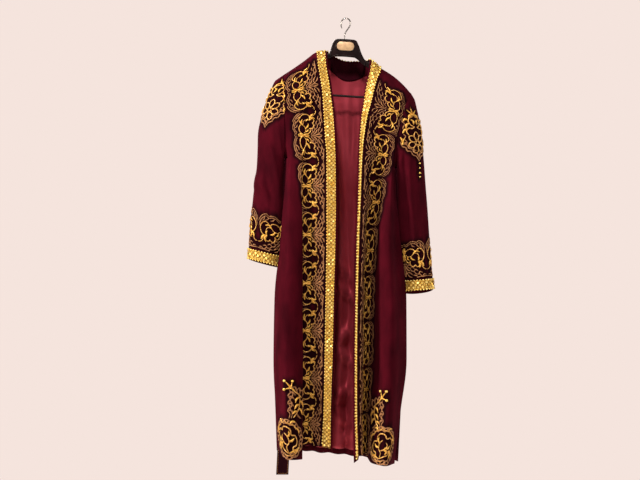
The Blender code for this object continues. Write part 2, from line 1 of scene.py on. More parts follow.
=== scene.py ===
"""Uzbek chapan robe on a suit hanger, dressed: velvet, satin, braid and gold embroidery.

Lengths in the tables are in millimetres. Right and left are the wearer's, so the
right front lies at negative X, and the robe's open front faces -Y.
"""
import functools
import math
import random

import bmesh
import bpy
import numpy as np
from mathutils import Matrix, Vector, kdtree
from mathutils.bvhtree import BVHTree


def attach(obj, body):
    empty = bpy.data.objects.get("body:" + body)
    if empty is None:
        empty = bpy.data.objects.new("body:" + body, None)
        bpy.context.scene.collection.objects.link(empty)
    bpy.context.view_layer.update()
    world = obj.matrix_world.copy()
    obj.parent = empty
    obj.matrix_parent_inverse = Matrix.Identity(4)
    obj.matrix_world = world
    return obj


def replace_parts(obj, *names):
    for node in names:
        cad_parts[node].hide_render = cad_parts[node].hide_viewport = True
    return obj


bl_info = {
    "name": "Uzbek Chapan Robe",
    "version": (1, 0, 0),
    "blender": (4, 5, 0),
    "location": "3D View > Sidebar > Robe",
    "description": "Dresses the chapan robe on its hanger, piece by piece",
    "category": "Object",
}

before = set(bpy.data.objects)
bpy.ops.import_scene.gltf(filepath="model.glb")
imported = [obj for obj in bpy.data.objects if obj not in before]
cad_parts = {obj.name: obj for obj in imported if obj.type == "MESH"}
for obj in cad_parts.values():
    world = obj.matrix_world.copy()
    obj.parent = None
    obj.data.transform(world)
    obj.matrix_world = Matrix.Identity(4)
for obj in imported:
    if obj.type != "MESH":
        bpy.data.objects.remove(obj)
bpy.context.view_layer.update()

MILLIMETRE = 0.001
BODY = "root"            # the one body that everything rides on

CLOTH = 2.0              # velvet with its interlining
TRIM = 1.0               # braid, lining and facing
SEAM = 0.3               # gap between neighbouring pieces
SEAM_STRIP = 3.0         # width beside a seam where both pieces run level
RIDGE_FLAT = 5.0         # level strip on each side of the shoulder ridge

# ---------------------------------------------------------------- sections

# The levels run down the garment. The armhole angle is 0 at the shoulder tip
# and 180 at the underarm, and the back depth is how far back its panel lies.
LEVELS = ("ridge", "rim", "over", "yoke", "shoulder", "upper", "armpit_fold",
          "chest", "lower_chest", "underarm", "waist", "cuff", "hip", "thigh",
          "knee", "hem")
ARMHOLE_ANGLE = (0, 3, 13, 26, 41, 58, 77, 96, 120, 180)
BACK_DEPTH = (0, RIDGE_FLAT, 14, 24, 34, 42, 46, 48, 49, 50, 51, 52, 54, 55, 56, 56)
ROWS_PER_SPAN = (1, 1, 1, 1, 2, 1, 1, 1, 3, 2, 2, 2, 2, 2, 2)
RIDGE, UNDERARM, HEM = 0, LEVELS.index("underarm"), len(LEVELS) - 1
HEM_STARTS = LEVELS.index("thigh")
UNDERARM_EASE = 1.0      # how far the side seams stop short at the underarm
FINER_ROWS = 4           # rows here for each row of the solids
FINER_COLUMNS = 3

STATIONS = ("side", "bulge", "fold", "tuck", "band", "crown", "brow", "heel", "edge")
COLUMNS_PER_SPAN = (4, 3, 3, 3, 2, 2, 2, 1)
CROWN = 11               # the crown lies this far outside the brow
CROWN_SHARE = .1         # and is this much of the way back to the band

# Front panels: z of the front edge at each level, then the x and the y of each
# station at the levels. The side station comes from the armhole above the underarm
# and from the side seam below it. The hem row lifts each station towards the hem.
RIGHT_FRONT = {
    "z": (-100, -100.1, -106, -120, -145, -190, -240, -302, -371, -426, -553, -674, -856, -1037,
          -1189, -1310),
    "bulge": ((-168, -168, -168, -168, -167, -166, -165, -163, -164, -166, -170, -174, -178, -180,
               -178, -175),
              (0, -5, -16, -27, -36, -43, -45, -46, -47, -47, -56, -63, -69, -73, -77, -81)),
    "fold": ((-148, -148, -148, -148, -147, -145, -142, -139, -137, -138, -134, -131, -131, -130,
              -131, -132),
             (0, -5, -15, -26, -35, -42, -46, -46, -48, -49, -48, -46, -45, -45, -47, -49)),
    "tuck": ((-128, -128, -128, -128, -127, -123, -119, -118, -121, -128, -140, -150, -157, -160,
              -160, -161),
             (0, -5, -14, -25, -33, -39, -43, -43, -42, -40, -36, -31, -29, -28, -29, -31)),
    "band": ((-108, -108, -108, -108, -106, -100, -95, -93, -95, -98, -108, -112, -114, -115, -116,
              -118),
             (0, -5, -14, -24, -31, -36, -40, -40, -40, -38, -32, -25, -19, -17, -17, -17)),
    "brow": ((-88, -88, -87, -86, -84, -76, -70, -66, -62, -58, -58, -58, -61, -64, -67, -73),
             (0, -5, -13, -22, -28, -32, -35, -36, -37, -38, -38, -34, -31, -30, -30, -30)),
    "heel": ((-65, -65, -64, -63, -61, -53, -46, -39, -35, -33, -32, -33, -38, -42, -47, -48),
             (0, -5, -12, -20, -25, -28, -31, -32, -33, -33, -33, -31, -28, -27, -27, -27)),
    "edge": ((-59, -59, -58, -57, -54, -46, -39, -32, -28, -26, -25, -27, -32, -36, -41, -41),
             (0, -5, -12, -19, -24, -27, -30, -31, -32, -32, -32, -30, -27, -26, -26, -26)),
    "side": {"underarm": (-186, 0), "waist": (-189, -7), "cuff": (-198, -12), "hip": (-217, -8),
             "thigh": (-220, -5), "knee": (-215, -2), "hem": (-211, 0)},
    "hem": (4, -21, -24, -6, 12, 11, 10, 4, -3),
}
LEFT_FRONT = {
    "z": (-125, -125.1, -131, -145, -170, -215, -260, -302, -386, -456, -553, -674, -856, -1037,
          -1189, -1335),
    "bulge": ((177, 177, 177, 176, 172, 158, 153, 150, 144, 137, 133, 129, 134, 133, 124, 112),
              (0, -5, -16, -27, -36, -43, -45, -46, -47, -48, -54, -60, -66, -70, -74, -78)),
    "fold": ((160, 160, 160, 159, 156, 142, 137, 134, 129, 121, 111, 99, 96, 93, 82, 76),
             (0, -5, -15, -26, -35, -42, -45, -46, -43, -40, -38, -36, -36, -36, -38, -41)),
    "tuck": ((142, 142, 142, 141, 138, 124, 119, 115, 113, 107, 97, 83, 79, 76, 65, 62),
             (0, -5, -14, -25, -33, -40, -43, -44, -38, -32, -24, -14, -8, -6, -7, -9)),
    "band": ((123, 123, 123, 122, 117, 105, 98, 91, 86, 79, 69, 60, 55, 54, 49, 48),
             (0, -5, -14, -24, -31, -40, -43, -46, -46, -44, -42, -38, -37, -37, -38, -39)),
    "brow": ((104, 104, 103, 102, 94, 84, 75, 64, 52, 47.5, 44, 39.6, 35, 33, 33, 36.5),
             (0, -5, -13, -22, -28, -38, -44, -49, -55, -58, -62, -66, -70, -72, -72, -72)),
    "heel": ((78, 78, 78, 76, 72, 62, 56, 50, 45, 44, 41, 37, 33, 31, 31, 34.5),
             (0, -5, -12, -20, -25, -29, -28, -27, -28, -30, -34, -38, -42, -44, -44, -45)),
    "edge": ((72, 72, 72, 70, 66, 57, 51, 44, 37, 34, 31, 25, 22, 20, 20, 23),
             (0, -5, -12, -19, -24, -28, -26, -25, -26, -28, -32, -36, -40, -42, -42, -43)),
    "side": {"underarm": (156, 0), "waist": (156, -7), "cuff": (166, -12), "hip": (184, -8),
             "thigh": (185, -5), "knee": (167, -2), "hem": (148, 0)},
    "hem": (-20, -15, -12, 3, 13, 14, 14, -2, -12),
}

# Shoulder ridge, from the armhole's tip in to the neck point: (x, z).
RIGHT_RIDGE = ((-190, -171), (-156, -149), (-122, -125), (-88, -102), (-59, -100))
LEFT_RIDGE = ((72, -125), (104, -149), (143, -174), (171, -198), (197, -226))

NECK_DROP = 13.0         # sag of the back neck edge
NECK_DEPTH = 32.0        # how far it stands behind the shoulder ridge
NECK_ROUNDNESS = 2.5     # exponent of its superellipse
NECK_RIM = 3.0           # drop of its level rim
NECK_LEVELS = 6          # levels over which the back loses that curve
NECK_FADE = 1.1          # exponent of its loss

# Stations of the back: x at the shoulders, share across it below the underarm,
# and depth of its vertical fold at the hem.
BACK_STATIONS = ((-140, .085, 0), (-112, .17, 20), (-85, .25, 0), (-59, .33, 25),
                 (-47, .415, 0), (6, .5, 19), (60, .58, 0), (72, .66, 26),
                 (104, .74, 0), (136, .82, 21), (162, .91, 0))
BACK_TURN = (27, 36)     # the back lies flat this far in, above and below the underarm
TURN_PLACES = (.22, .3)  # share of that at the turn's first station, above and below
TURN_DEPTHS = (.45, .9)  # share of the depth at its two stations
BACK_COLUMNS = (1, 2) + (1,) + (2,) * (len(BACK_STATIONS) - 1) + (1,) + (2, 1)
BACK_HEM = {"right": -1315, "left": -1351, "vent_x": 160, "vent_y": 12}

# Sleeves: rings from the armhole to the cuff. outer and inner are the ring's
# ends in the front view, centre their y, half the ring's half depth, and bow
# the hollow of its chord. The strip beside the armhole seam falls by SEAM_FALL.
RING = ("outer_x", "outer_z", "inner_x", "inner_z", "centre", "half", "bow")
SEAM_FALL = {"right": .7, "left": 1.1}
CUFF_DROP = {"right": 5, "left": 12}   # how much lower the back of each cuff ends
RIGHT_SLEEVE = (
    (-190, -171, -186, -426, 0, 44, 2),
    (-215, -188, -189, -431, 1, 46, 1),
    (-228, -214, -188.9, -437, 3, 48, 0),
    (-245, -259, -187.6, -444, 8, 49, 0),
    (-260, -305, -187, -455, 12, 49, 0),
    (-269, -351, -186.8, -474, 14, 49, 0),
    (-270.5, -406, -186.2, -498, 17, 48.5, 0),
    (-273.5, -458, -185.7, -526, 18, 47, 0),
    (-282, -502, -185.7, -556, 19, 45, 0),
    (-283.5, -537, -186.8, -587, 19, 44, 0),
    (-289.5, -598, -189, -638, 18, 43, 0),
    (-294.5, -662, -195.2, -696, 18, 42, 0),
    (-297, -700, -199.4, -725, 18, 41, 0),
    (-298, -729, -203.2, -753, 18, 41, 0),
    (-298, -732, -203.2, -757, 18, 41, 0),
)
LEFT_SLEEVE = (
    (197, -226, 156, -456, 0, 44, 15),
    (209, -245, 159, -462, 1, 46, 11),
    (217, -276, 158.8, -469, 3, 48, 7),
    (225, -312, 157, -479, 7, 49, 4),
    (231, -353, 155.6, -494, 11, 49, 2),
    (236, -403, 154.6, -515, 14, 49, 0),
    (240.5, -454, 154, -545, 17, 48, 0),
    (245, -515, 154.3, -580, 18, 46.5, 0),
    (250, -576, 156.2, -620, 19, 45, 0),
    (254, -637, 160, -665, 18, 44, 0),
    (258, -698, 166.2, -712, 18, 43, 0),
    (262, -759, 172.8, -766, 18, 42, 0),
    (266, -793, 176.6, -799, 18, 42, 0),
    (268, -821, 178.4, -828, 18, 42, 0),
    (268, -824, 178.4, -832, 18, 42, 0),
)
SLEEVE_ROUNDNESS = 2.3   # exponent of the rings' superellipse
CUFF_BRAID_ROWS = (-2, -1)

# Each front's table, its sleeve's, and the sign that turns its normals outwards.
FRONTS = {"front_right": (RIGHT_FRONT, RIGHT_SLEEVE, -1),
          "front_left": (LEFT_FRONT, LEFT_SLEEVE, 1)}
SLEEVES = {"sleeve_right": (RIGHT_SLEEVE, -1), "sleeve_left": (LEFT_SLEEVE, 1)}

# Hanger sections along X. With no top the arm lies close under the shoulder.
HANGER = ("x", "top", "height", "half", "corner")
HANGER_SECTIONS = (
    (-178, -168.2, 17, 7, 6),
    (-168, None, 22, 9, 7),
    (-140, None, 28, 10, 8),
    (-110, None, 32, 10, 8),
    (-88, -106.2, 34, 10, 7),
    (-66, None, 25, 8, 6),
    (-51, -105, 16, 7, 5),
    (-46, -92, 28, 7, 4),
    (-42, -77, 41, 7, 4),
    (-33, -64, 51, 7, 4),
    (-26, -61, 53.5, 7, 4),
    (26, -64, 54, 7, 4),
    (33, -68, 54, 7, 4),
    (40, -83, 45, 7, 4),
    (46, -102, 32, 7, 4),
    (60, -127, 18, 7, 5),
    (80, None, 25, 8, 6),
    (104, None, 31, 10, 7),
    (130, None, 30, 10, 8),
    (158, None, 26, 10, 8),
    (176, None, 21, 9, 7),
    (184, -218, 16, 7, 6),
)
CORNER_STEPS = 5         # points round each corner of a section
ARM_CLEARANCE = .25      # added to the seam gap where the arm is straight
HANGER_TILT = math.radians(3.5)
BADGE = {"centre": (-1.5, -84), "width": 52, "height": 26, "thickness": .8}
BAR = {"reach": 150, "z": -235.5, "radius": 3.5, "bend": 10}
HOOK_WIRE = 1.9
# The hook's centre line: from the tip over the top and down to the stem.
HOOK_ROUTE = ((-12, -29), (-14.5, -21), (-13.9, -12), (-9.8, -2.2), (0, HOOK_WIRE),
              (9.8, -2.2), (13.9, -12), (12, -21), (6.5, -30), (0, -39),
              (-3.4, -48), (-3.8, -61.8))

# Belt, folded over the loop at the right side seam.
BELT = {"width": 38, "thickness": 3, "top_x": -158, "low_x": -196, "bridge_z": -612,
        "inner_y": 58.2, "fold_radius": 4.2, "inner_end": -1285, "outer_end": -1401}
LOOP = {"width": 7, "thickness": 1.6, "left_x": 121, "left_y": 62}

# ---------------------------------------------------------------- curves


def monotone(knots, values, at):
    """Cubic through the values that never overshoots them."""
    steps = [b - a for a, b in zip(knots, knots[1:])]
    slopes = [(b - a) / h for a, b, h in zip(values, values[1:], steps)]
    inner = [2 * a * b / (a + b) if a * b > 0 else 0 for a, b in zip(slopes, slopes[1:])]
    tangents = [slopes[0]] + inner + [slopes[-1]]
    span = 0
    while span < len(steps) - 1 and at > knots[span + 1]:
        span += 1
    step = steps[span]
    t = min(max((at - knots[span]) / step, 0), 1)
    rest = 1 - t
    return (values[span] * (1 + 2 * t) * rest * rest
            + values[span + 1] * (3 - 2 * t) * t * t
            + tangents[span] * step * t * rest * rest
            - tangents[span + 1] * step * t * t * rest)


def along_levels(values, level):
    return monotone(range(len(values)), values, level)


def level_rows():
    """Level numbers of every row of a panel's grid, whole ones at the tables'."""
    rows = [0.0]
    for span, count in enumerate(ROWS_PER_SPAN):
        count *= FINER_ROWS
        rows += [span + step / count for step in range(1, count + 1)]
    return rows


def mix(a, b, share):
    return a + (b - a) * share


def cubic(a, b, c, d, x):
    """A smooth curve from b to c, x being 0 to 1, that is led by a and d."""
    return .5 * (2 * b + (c - a) * x + (2 * a - 5 * b + 4 * c - d) * x ** 2
                 + (3 * b - a - 3 * c + d) * x ** 3)


def through(points, counts):
    """Points of a smooth curve through the stations, counts[k] to each span."""
    lengths = [0.0]
    for a, b in zip(points, points[1:]):
        lengths.append(lengths[-1] + max((b - a).length, 1e-3))
    places = [lengths[0]]
    for a, b, count in zip(lengths, lengths[1:], counts):
        count *= FINER_COLUMNS
        places += [mix(a, b, step / count) for step in range(1, count + 1)]
    axes = [[point[axis] for point in points] for axis in range(3)]
    return [Vector([monotone(lengths, axis, at) for axis in axes]) for at in places]


# ---------------------------------------------------------------- cloth forms


def ring_point(ring, height, face):
    """A sleeve ring's point at a height from -1 (inner) to 1 (outer)."""
    row = dict(zip(RING, ring))
    bulk = (1 - min(abs(height), 1) ** SLEEVE_ROUNDNESS) ** (1 / SLEEVE_ROUNDNESS)
    x = mix(row["inner_x"], row["outer_x"], (height + 1) / 2)
    x -= math.copysign(row["bow"], row["outer_x"]) * bulk * bulk
    z = mix(row["inner_z"], row["outer_z"], (height + 1) / 2)
    return Vector((x, row["centre"] + face * row["half"] * bulk, z))


def armhole_angles():
    """Angles of the rows from the shoulder tip to the underarm."""
    return [along_levels(ARMHOLE_ANGLE, row) for row in level_rows() if row <= UNDERARM]


def ring_height(angle):
    """Height on a ring, from 1 at angle 0 to -1 at angle 180."""
    level = math.cos(math.radians(angle))
    return math.copysign(abs(level) ** (2 / SLEEVE_ROUNDNESS), level)


def armhole_point(sleeve, level, face):
    """The panel's side of the armhole seam."""
    angle = along_levels(ARMHOLE_ANGLE, level)
    point = ring_point(sleeve[0], ring_height(angle), face)
    point.x -= math.copysign(SEAM / 2, point.x)
    point.y = face * max(abs(point.y), SEAM / 2)
    return point


def neck_share(x):
    """Place between the neck points, from 0 at the right one to 1."""
    right, left = RIGHT_RIDGE[-1][0], LEFT_RIDGE[0][0]
    return (x - right) / (left - right)


def ridge_z(x):
    across = neck_share(x)
    if across < 0:
        return monotone(*zip(*RIGHT_RIDGE), x)
    if across > 1:
        return monotone(*zip(*LEFT_RIDGE), x)
    line = mix(RIGHT_RIDGE[-1][1], LEFT_RIDGE[0][1], across)
    return line - NECK_DROP * math.sin(math.pi * across)


def neck_curve(x):
    """1 in the middle of the back neck, 0 from the neck points outwards."""
    away = min(abs(2 * neck_share(x) - 1), 1)
    return (1 - away ** NECK_ROUNDNESS) ** (1 / NECK_ROUNDNESS)


def side_place(front, level):
    """Side seam below the underarm: (x, y)."""
    seam = list(front["side"].values())
    return [monotone(range(len(seam)), [p[axis] for p in seam], level - UNDERARM)
            for axis in (0, 1)]


def seam_strip(sleeve, angle):
    """The way across the strip that lies on each side of the armhole seam."""
    side = "right" if sleeve[0][0] < 0 else "left"
    fall = SEAM_FALL[side] * max(0.0, math.cos(math.radians(angle)))
    way = Vector((math.copysign(1, sleeve[0][0]), 0, -fall))
    return way.normalized() * SEAM_STRIP


def seam_start(front, sleeve, level, face):
    """The side of a row, and the point beside it where the seam strip ends."""
    across = Vector((0, face * SEAM_STRIP, 0))
    if level < UNDERARM:
        side = armhole_point(sleeve, level, face)
        return side, side - seam_strip(sleeve, along_levels(ARMHOLE_ANGLE, level))
    if level == UNDERARM:
        side = armhole_point(sleeve, level, face)
        side.y = face * UNDERARM_EASE
        return side, side + across
    x, y = side_place(front, level)
    side = Vector((x, y + face * SEAM / 2, along_levels(front["z"], level)))
    return side, side + across


def hem_share(level):
    return max(0.0, (level - HEM_STARTS) / (HEM - HEM_STARTS)) ** 2


def slope_share(front, sleeve, level):
    """How far a level still follows the shoulder's slope."""
    if level >= UNDERARM:
        return 0.0
    drop = sleeve[0][RING.index("outer_z")] - front["z"][RIDGE]
    return (armhole_point(sleeve, level, -1).z - along_levels(front["z"], level)) / drop


def front_section(front, sleeve, level):
    """One row of a front panel: the seam strip, then the stations' curve."""
    z_edge = along_levels(front["z"], level)
    slope = slope_share(front, sleeve, level)
    places = {station: [along_levels(column, level) for column in front[station]]
              for station in STATIONS if station not in ("side", "crown")}
    brow, band = places["brow"], places["band"]
    places["crown"] = (brow[0] + math.copysign(CROWN, sleeve[0][0]),
                       mix(brow[1], band[1], CROWN_SHARE))
    points = []
    for station, hem in list(zip(STATIONS, front["hem"]))[1:]:
        x, y = places[station]
        z = z_edge + slope * (ridge_z(x) - front["z"][RIDGE]) + hem * hem_share(level)
        points.append(Vector((x, min(y, -SEAM / 2), z)))
    side, strip = seam_start(front, sleeve, level, -1)
    for point in (side, strip):
        point.z += front["hem"][0] * hem_share(level)
    return [side] + through([strip] + points, COLUMNS_PER_SPAN)


def back_section(level):
    """One row of the back panel, from the right side seam to the left."""
    ends = []
    for front, sleeve, key in ((RIGHT_FRONT, RIGHT_SLEEVE, "right"),
                               (LEFT_FRONT, LEFT_SLEEVE, "left")):
        side, strip = seam_start(front, sleeve, level, 1)
        for point in (side, strip):
            point.z += (BACK_HEM[key] - front["z"][HEM]) * hem_share(level)
        ends.append((side, strip))
    (right, right_strip), (left, left_strip) = ends
    opened = max(0, level - HEM + 1)
    for point in (left, left_strip):
        point.x += (BACK_HEM["vent_x"] - LEFT_FRONT["side"]["hem"][0]) * opened
        point.y += (BACK_HEM["vent_y"] - LEFT_FRONT["side"]["hem"][1]) * opened
    depth = along_levels(BACK_DEPTH, level)
    slope = (slope_share(RIGHT_FRONT, RIGHT_SLEEVE, level)
             + slope_share(LEFT_FRONT, LEFT_SLEEVE, level)) / 2
    neck = max(0.0, 1 - (level / NECK_LEVELS) ** NECK_FADE)
    lower = min(max((level - LEVELS.index("yoke")) / (UNDERARM - LEVELS.index("yoke")), 0), 1)
    fold_share = max(0.0, (level - NECK_LEVELS) / (HEM - NECK_LEVELS))

    def place(x, turn=1.0, fold=0.0):
        share = (x - right.x) / (left.x - right.x)
        line = mix(RIGHT_RIDGE[0][1], LEFT_RIDGE[-1][1], share)
        z = mix(right.z, left.z, share) + slope * (ridge_z(x) - line)
        y = mix(mix(right_strip.y, left_strip.y, share), depth, turn)
        y += neck_curve(x) * neck * NECK_DEPTH - fold * fold_share
        z -= neck_curve(x) * neck * NECK_RIM * min(level, 1)
        return Vector((x, max(y, SEAM / 2), z))

    below = min(max((level - NECK_LEVELS) / (UNDERARM - NECK_LEVELS), 0), 1)
    turn_in = mix(*BACK_TURN, below)
    side_share = mix(*TURN_PLACES, below)
    near, far = TURN_DEPTHS
    flat_right, flat_left = right.x + turn_in, left.x - turn_in
    points = [right_strip, place(mix(right.x, flat_right, side_share), near),
              place(flat_right, far)]
    for shoulder_x, share, fold in BACK_STATIONS:
        x = mix(shoulder_x, mix(flat_right, flat_left, share), lower)
        points.append(place(x, 1, fold))
    points += [place(flat_left, far), place(mix(left.x, flat_left, side_share), near),
               left_strip]
    return [right] + through(points, BACK_COLUMNS) + [left]


def cuff_drop(sleeve, point):
    """How far a point of the cuff's edge lies lower because it is at the back."""
    row = dict(zip(RING, sleeve[-1]))
    side = "right" if row["outer_x"] < 0 else "left"
    back = max(0.0, (point.y - row["centre"]) / row["half"])
    return Vector((0, 0, CUFF_DROP[side] * back))


def sleeve_ring(sleeve, place):
    """The sleeve's ring at a place along it, whole at the table's rows."""
    return [monotone(range(len(sleeve)), column, place) for column in zip(*sleeve)]


def sleeve_grid(sleeve):
    """Rings of a sleeve; the first two run level beside the armhole seam."""
    outward = math.copysign(1, sleeve[0][0])
    angles = armhole_angles()
    around = [(angle, -1) for angle in angles] + [(angle, 1) for angle in angles[-2::-1]]
    seam = Vector((outward * SEAM / 2, 0, 0))
    first = [ring_point(sleeve[0], ring_height(angle), face) + seam for angle, face in around]
    strip = [point + seam_strip(sleeve, angle) for point, (angle, _) in zip(first, around)]
    rings = [first, strip]
    for number in range(FINER_ROWS, (len(sleeve) - 1) * FINER_ROWS + 1):
        ring = sleeve_ring(sleeve, number / FINER_ROWS)
        points = [ring_point(ring, ring_height(angle), face) for angle, face in around]
        edge = max(0.0, number / FINER_ROWS - (len(sleeve) - 2))
        rings.append([point - cuff_drop(sleeve, point) * edge for point in points])
    return rings


def back_column(station):
    """Column of a numbered station of the back."""
    return 1 + FINER_COLUMNS * sum(BACK_COLUMNS[:station + 3])


def station_column(name):
    """Column of a front panel's station, after the seam strip."""
    return 1 + FINER_COLUMNS * sum(COLUMNS_PER_SPAN[:STATIONS.index(name)])


def hanger_profile():
    """Hanger sections with each arm's top set close under the shoulder."""
    sections = []
    for section in HANGER_SECTIONS:
        row = dict(zip(HANGER, section))
        if row["top"] is None:
            x = row["x"]
            rise = ridge_z(x + 1) - ridge_z(x - 1)
            below = (CLOTH + SEAM) * math.hypot(1, rise / 2) + ARM_CLEARANCE
            row["top"] = ridge_z(x) - below
        row["bottom"] = row["top"] - row["height"]
        sections.append(row)
    return sections


def rounded_ring(row):
    """Rounded rectangle in the Y-Z plane, from a hanger section."""
    middle = (row["top"] + row["bottom"]) / 2
    tall = (row["top"] - row["bottom"]) / 2
    ring = []
    for y_sign, z_sign, start in ((1, 1, 0), (-1, 1, 90), (-1, -1, 180), (1, -1, 270)):
        for step in range(CORNER_STEPS):
            angle = math.radians(start + 90 * step / (CORNER_STEPS - 1))
            y = y_sign * (row["half"] - row["corner"]) + row["corner"] * math.cos(angle)
            z = z_sign * (tall - row["corner"]) + row["corner"] * math.sin(angle)
            ring.append(Vector((row["x"], y, middle + z)))
    return ring + ring[:1]


# ---------------------------------------------------------------- creases

# Soft troughs and ridges, from one end to the other in the front view. Width is
# half of what a crease spreads over, and a positive height stands proud.
CREASE = ("x0", "z0", "x1", "z1", "width", "height")
CREASES = {
    "front_right": (
        (-196, -430, -203, -700, 13, 4.8), (-176, -520, -188, -930, 11, -4.5),
        (-204, -760, -207, -1110, 12, 4.5), (-150, -240, -166, -420, 19, -5.1),
        (-120, -190, -150, -330, 22, 3.3), (-190, -980, -198, -1240, 11, -4.5),
        (-160, -1010, -154, -1290, 11, 3.6),
    ),
    "front_left": (
        (122, -330, 138, -560, 16, -5.1), (104, -540, 118, -860, 12, 4.8),
        (150, -600, 158, -930, 13, -5.1), (128, -900, 120, -1200, 12, 4.8),
        (166, -880, 164, -1180, 12, -4.5), (96, -940, 88, -1270, 10, -3.9),
        (146, -260, 150, -400, 18, -4.5), (108, -420, 96, -640, 11, -3.6),
    ),
    "back_panel": (
        (-120, -180, -60, -330, 24, -2.2), (120, -230, 70, -370, 24, -2.2),
        (-100, -420, -92, -760, 16, 2.0), (60, -460, 76, -820, 18, 2.2),
        (-30, -620, -36, -1000, 14, -2.4), (20, -900, 30, -1260, 13, 2.2),
        (110, -760, 116, -1180, 14, -2.4), (-90, -930, -80, -1290, 13, -2.2),
    ),
    "back_lining": (
        (4, -215, 8, -640, 13, -9.0), (38, -230, 34, -560, 12, -8.0),
        (-26, -270, -22, -600, 11, -8.0), (-50, -380, -46, -760, 11, -6.0),
        (30, -560, 28, -800, 10, -10.0), (-44, -720, 30, -820, 13, -13.0),
        (-50, -790, 46, -880, 14, -18.0), (48, -900, -34, -1000, 15, -19.0),
        (-52, -1000, 40, -1070, 13, -17.0), (46, -1092, -46, -1178, 15, -19.0),
        (-52, -1180, 26, -1252, 13, -16.0), (42, -1236, -26, -1318, 12, -14.0),
        (26, -930, 36, -1040, 9, -7.0), (-40, -1060, -30, -1160, 9, -7.0),
        (80, -420, 84, -1100, 14, -4.0), (-110, -430, -118, -1150, 15, -4.0),
        (120, -520, 122, -980, 13, -3.4), (-150, -560, -150, -1010, 12, -3.4),
    ),
    "sleeve_right": (
        (-236, -370, -208, -500, 9, 5.0), (-252, -420, -220, -570, 9, -4.6),
        (-270, -478, -234, -540, 8, 6.0), (-280, -516, -238, -580, 7, -6.0),
        (-206, -420, -200, -640, 9, 3.6), (-272, -560, -254, -680, 9, 3.4),
        (-232, -560, -224, -690, 8, -3.4), (-190, -404, -190, -484, 9, 3.2),
    ),
    "sleeve_left": (
        (160, -420, 164, -640, 7, 4.8), (176, -400, 186, -640, 6, -5.2),
        (190, -390, 204, -690, 8, 4.4), (232, -470, 246, -760, 7, -4.4),
        (214, -500, 224, -700, 8, -3.0), (206, -640, 214, -780, 8, 3.0),
        (158, -430, 158, -506, 8, 3.0),
    ),
}


CREASE_BOW = 4.0         # mm that a crease bows off its straight line
CREASE_TURN = 3.0        # radians of the wave that the bow follows along it
CREASE_END = 1.15        # it has faded out at this share of half its length
CREASE_FADE = .7         # exponent of its fading


def unit(vectors):
    length = np.linalg.norm(vectors, axis=-1, keepdims=True)
    return vectors / np.maximum(length, 1e-9)


def grid_normals(points, outward):
    """Unit normals of a grid of points; outward is 1 or -1."""
    across = np.gradient(points, axis=1)
    down = np.gradient(points, axis=0)
    return unit(np.cross(across, down)) * outward


def finer(points, count, axis):
    """The grid with every cell cut in count along an axis, on smooth curves."""
    points = np.moveaxis(points, axis, 0)
    last = len(points) - 1
    at = np.arange(last * count + 1) / count
    cell = np.minimum(at.astype(int), last - 1)
    x = (at - cell)[:, None, None]
    a, b, c, d = (points[np.clip(cell + step, 0, last)] for step in (-1, 0, 1, 2))
    return np.moveaxis(cubic(a, b, c, d, x), 0, axis)


def creased(points, outward, name, depth):
    """The grid with its creases pressed in: the lining's straight to the front."""
    normals = grid_normals(points, outward)
    if name == "back_lining":
        normals[:] = (0, 1, 0)
    height = np.zeros(points.shape[:2])
    for crease in CREASES.get(name, ()):
        row = dict(zip(CREASE, crease))
        start = np.array((row["x0"], row["z0"]))
        way = np.array((row["x1"], row["z1"])) - start
        place = points[:, :, (0, 2)] - start
        share = (place @ way) / (way @ way)
        wave = np.sin(start.sum() + share * CREASE_TURN)
        bowed = CREASE_BOW * np.sin(math.pi * share) * wave
        side = (place[..., 0] * way[1] - place[..., 1] * way[0]) / np.linalg.norm(way)
        fade = np.clip(CREASE_END - np.abs(share - .5) * 2, 0, 1) ** CREASE_FADE
        height += row["height"] * fade * np.exp(-((side - bowed) / row["width"]) ** 2)
    return points + normals * height[..., None] * depth


# ---------------------------------------------------------------- surfaces


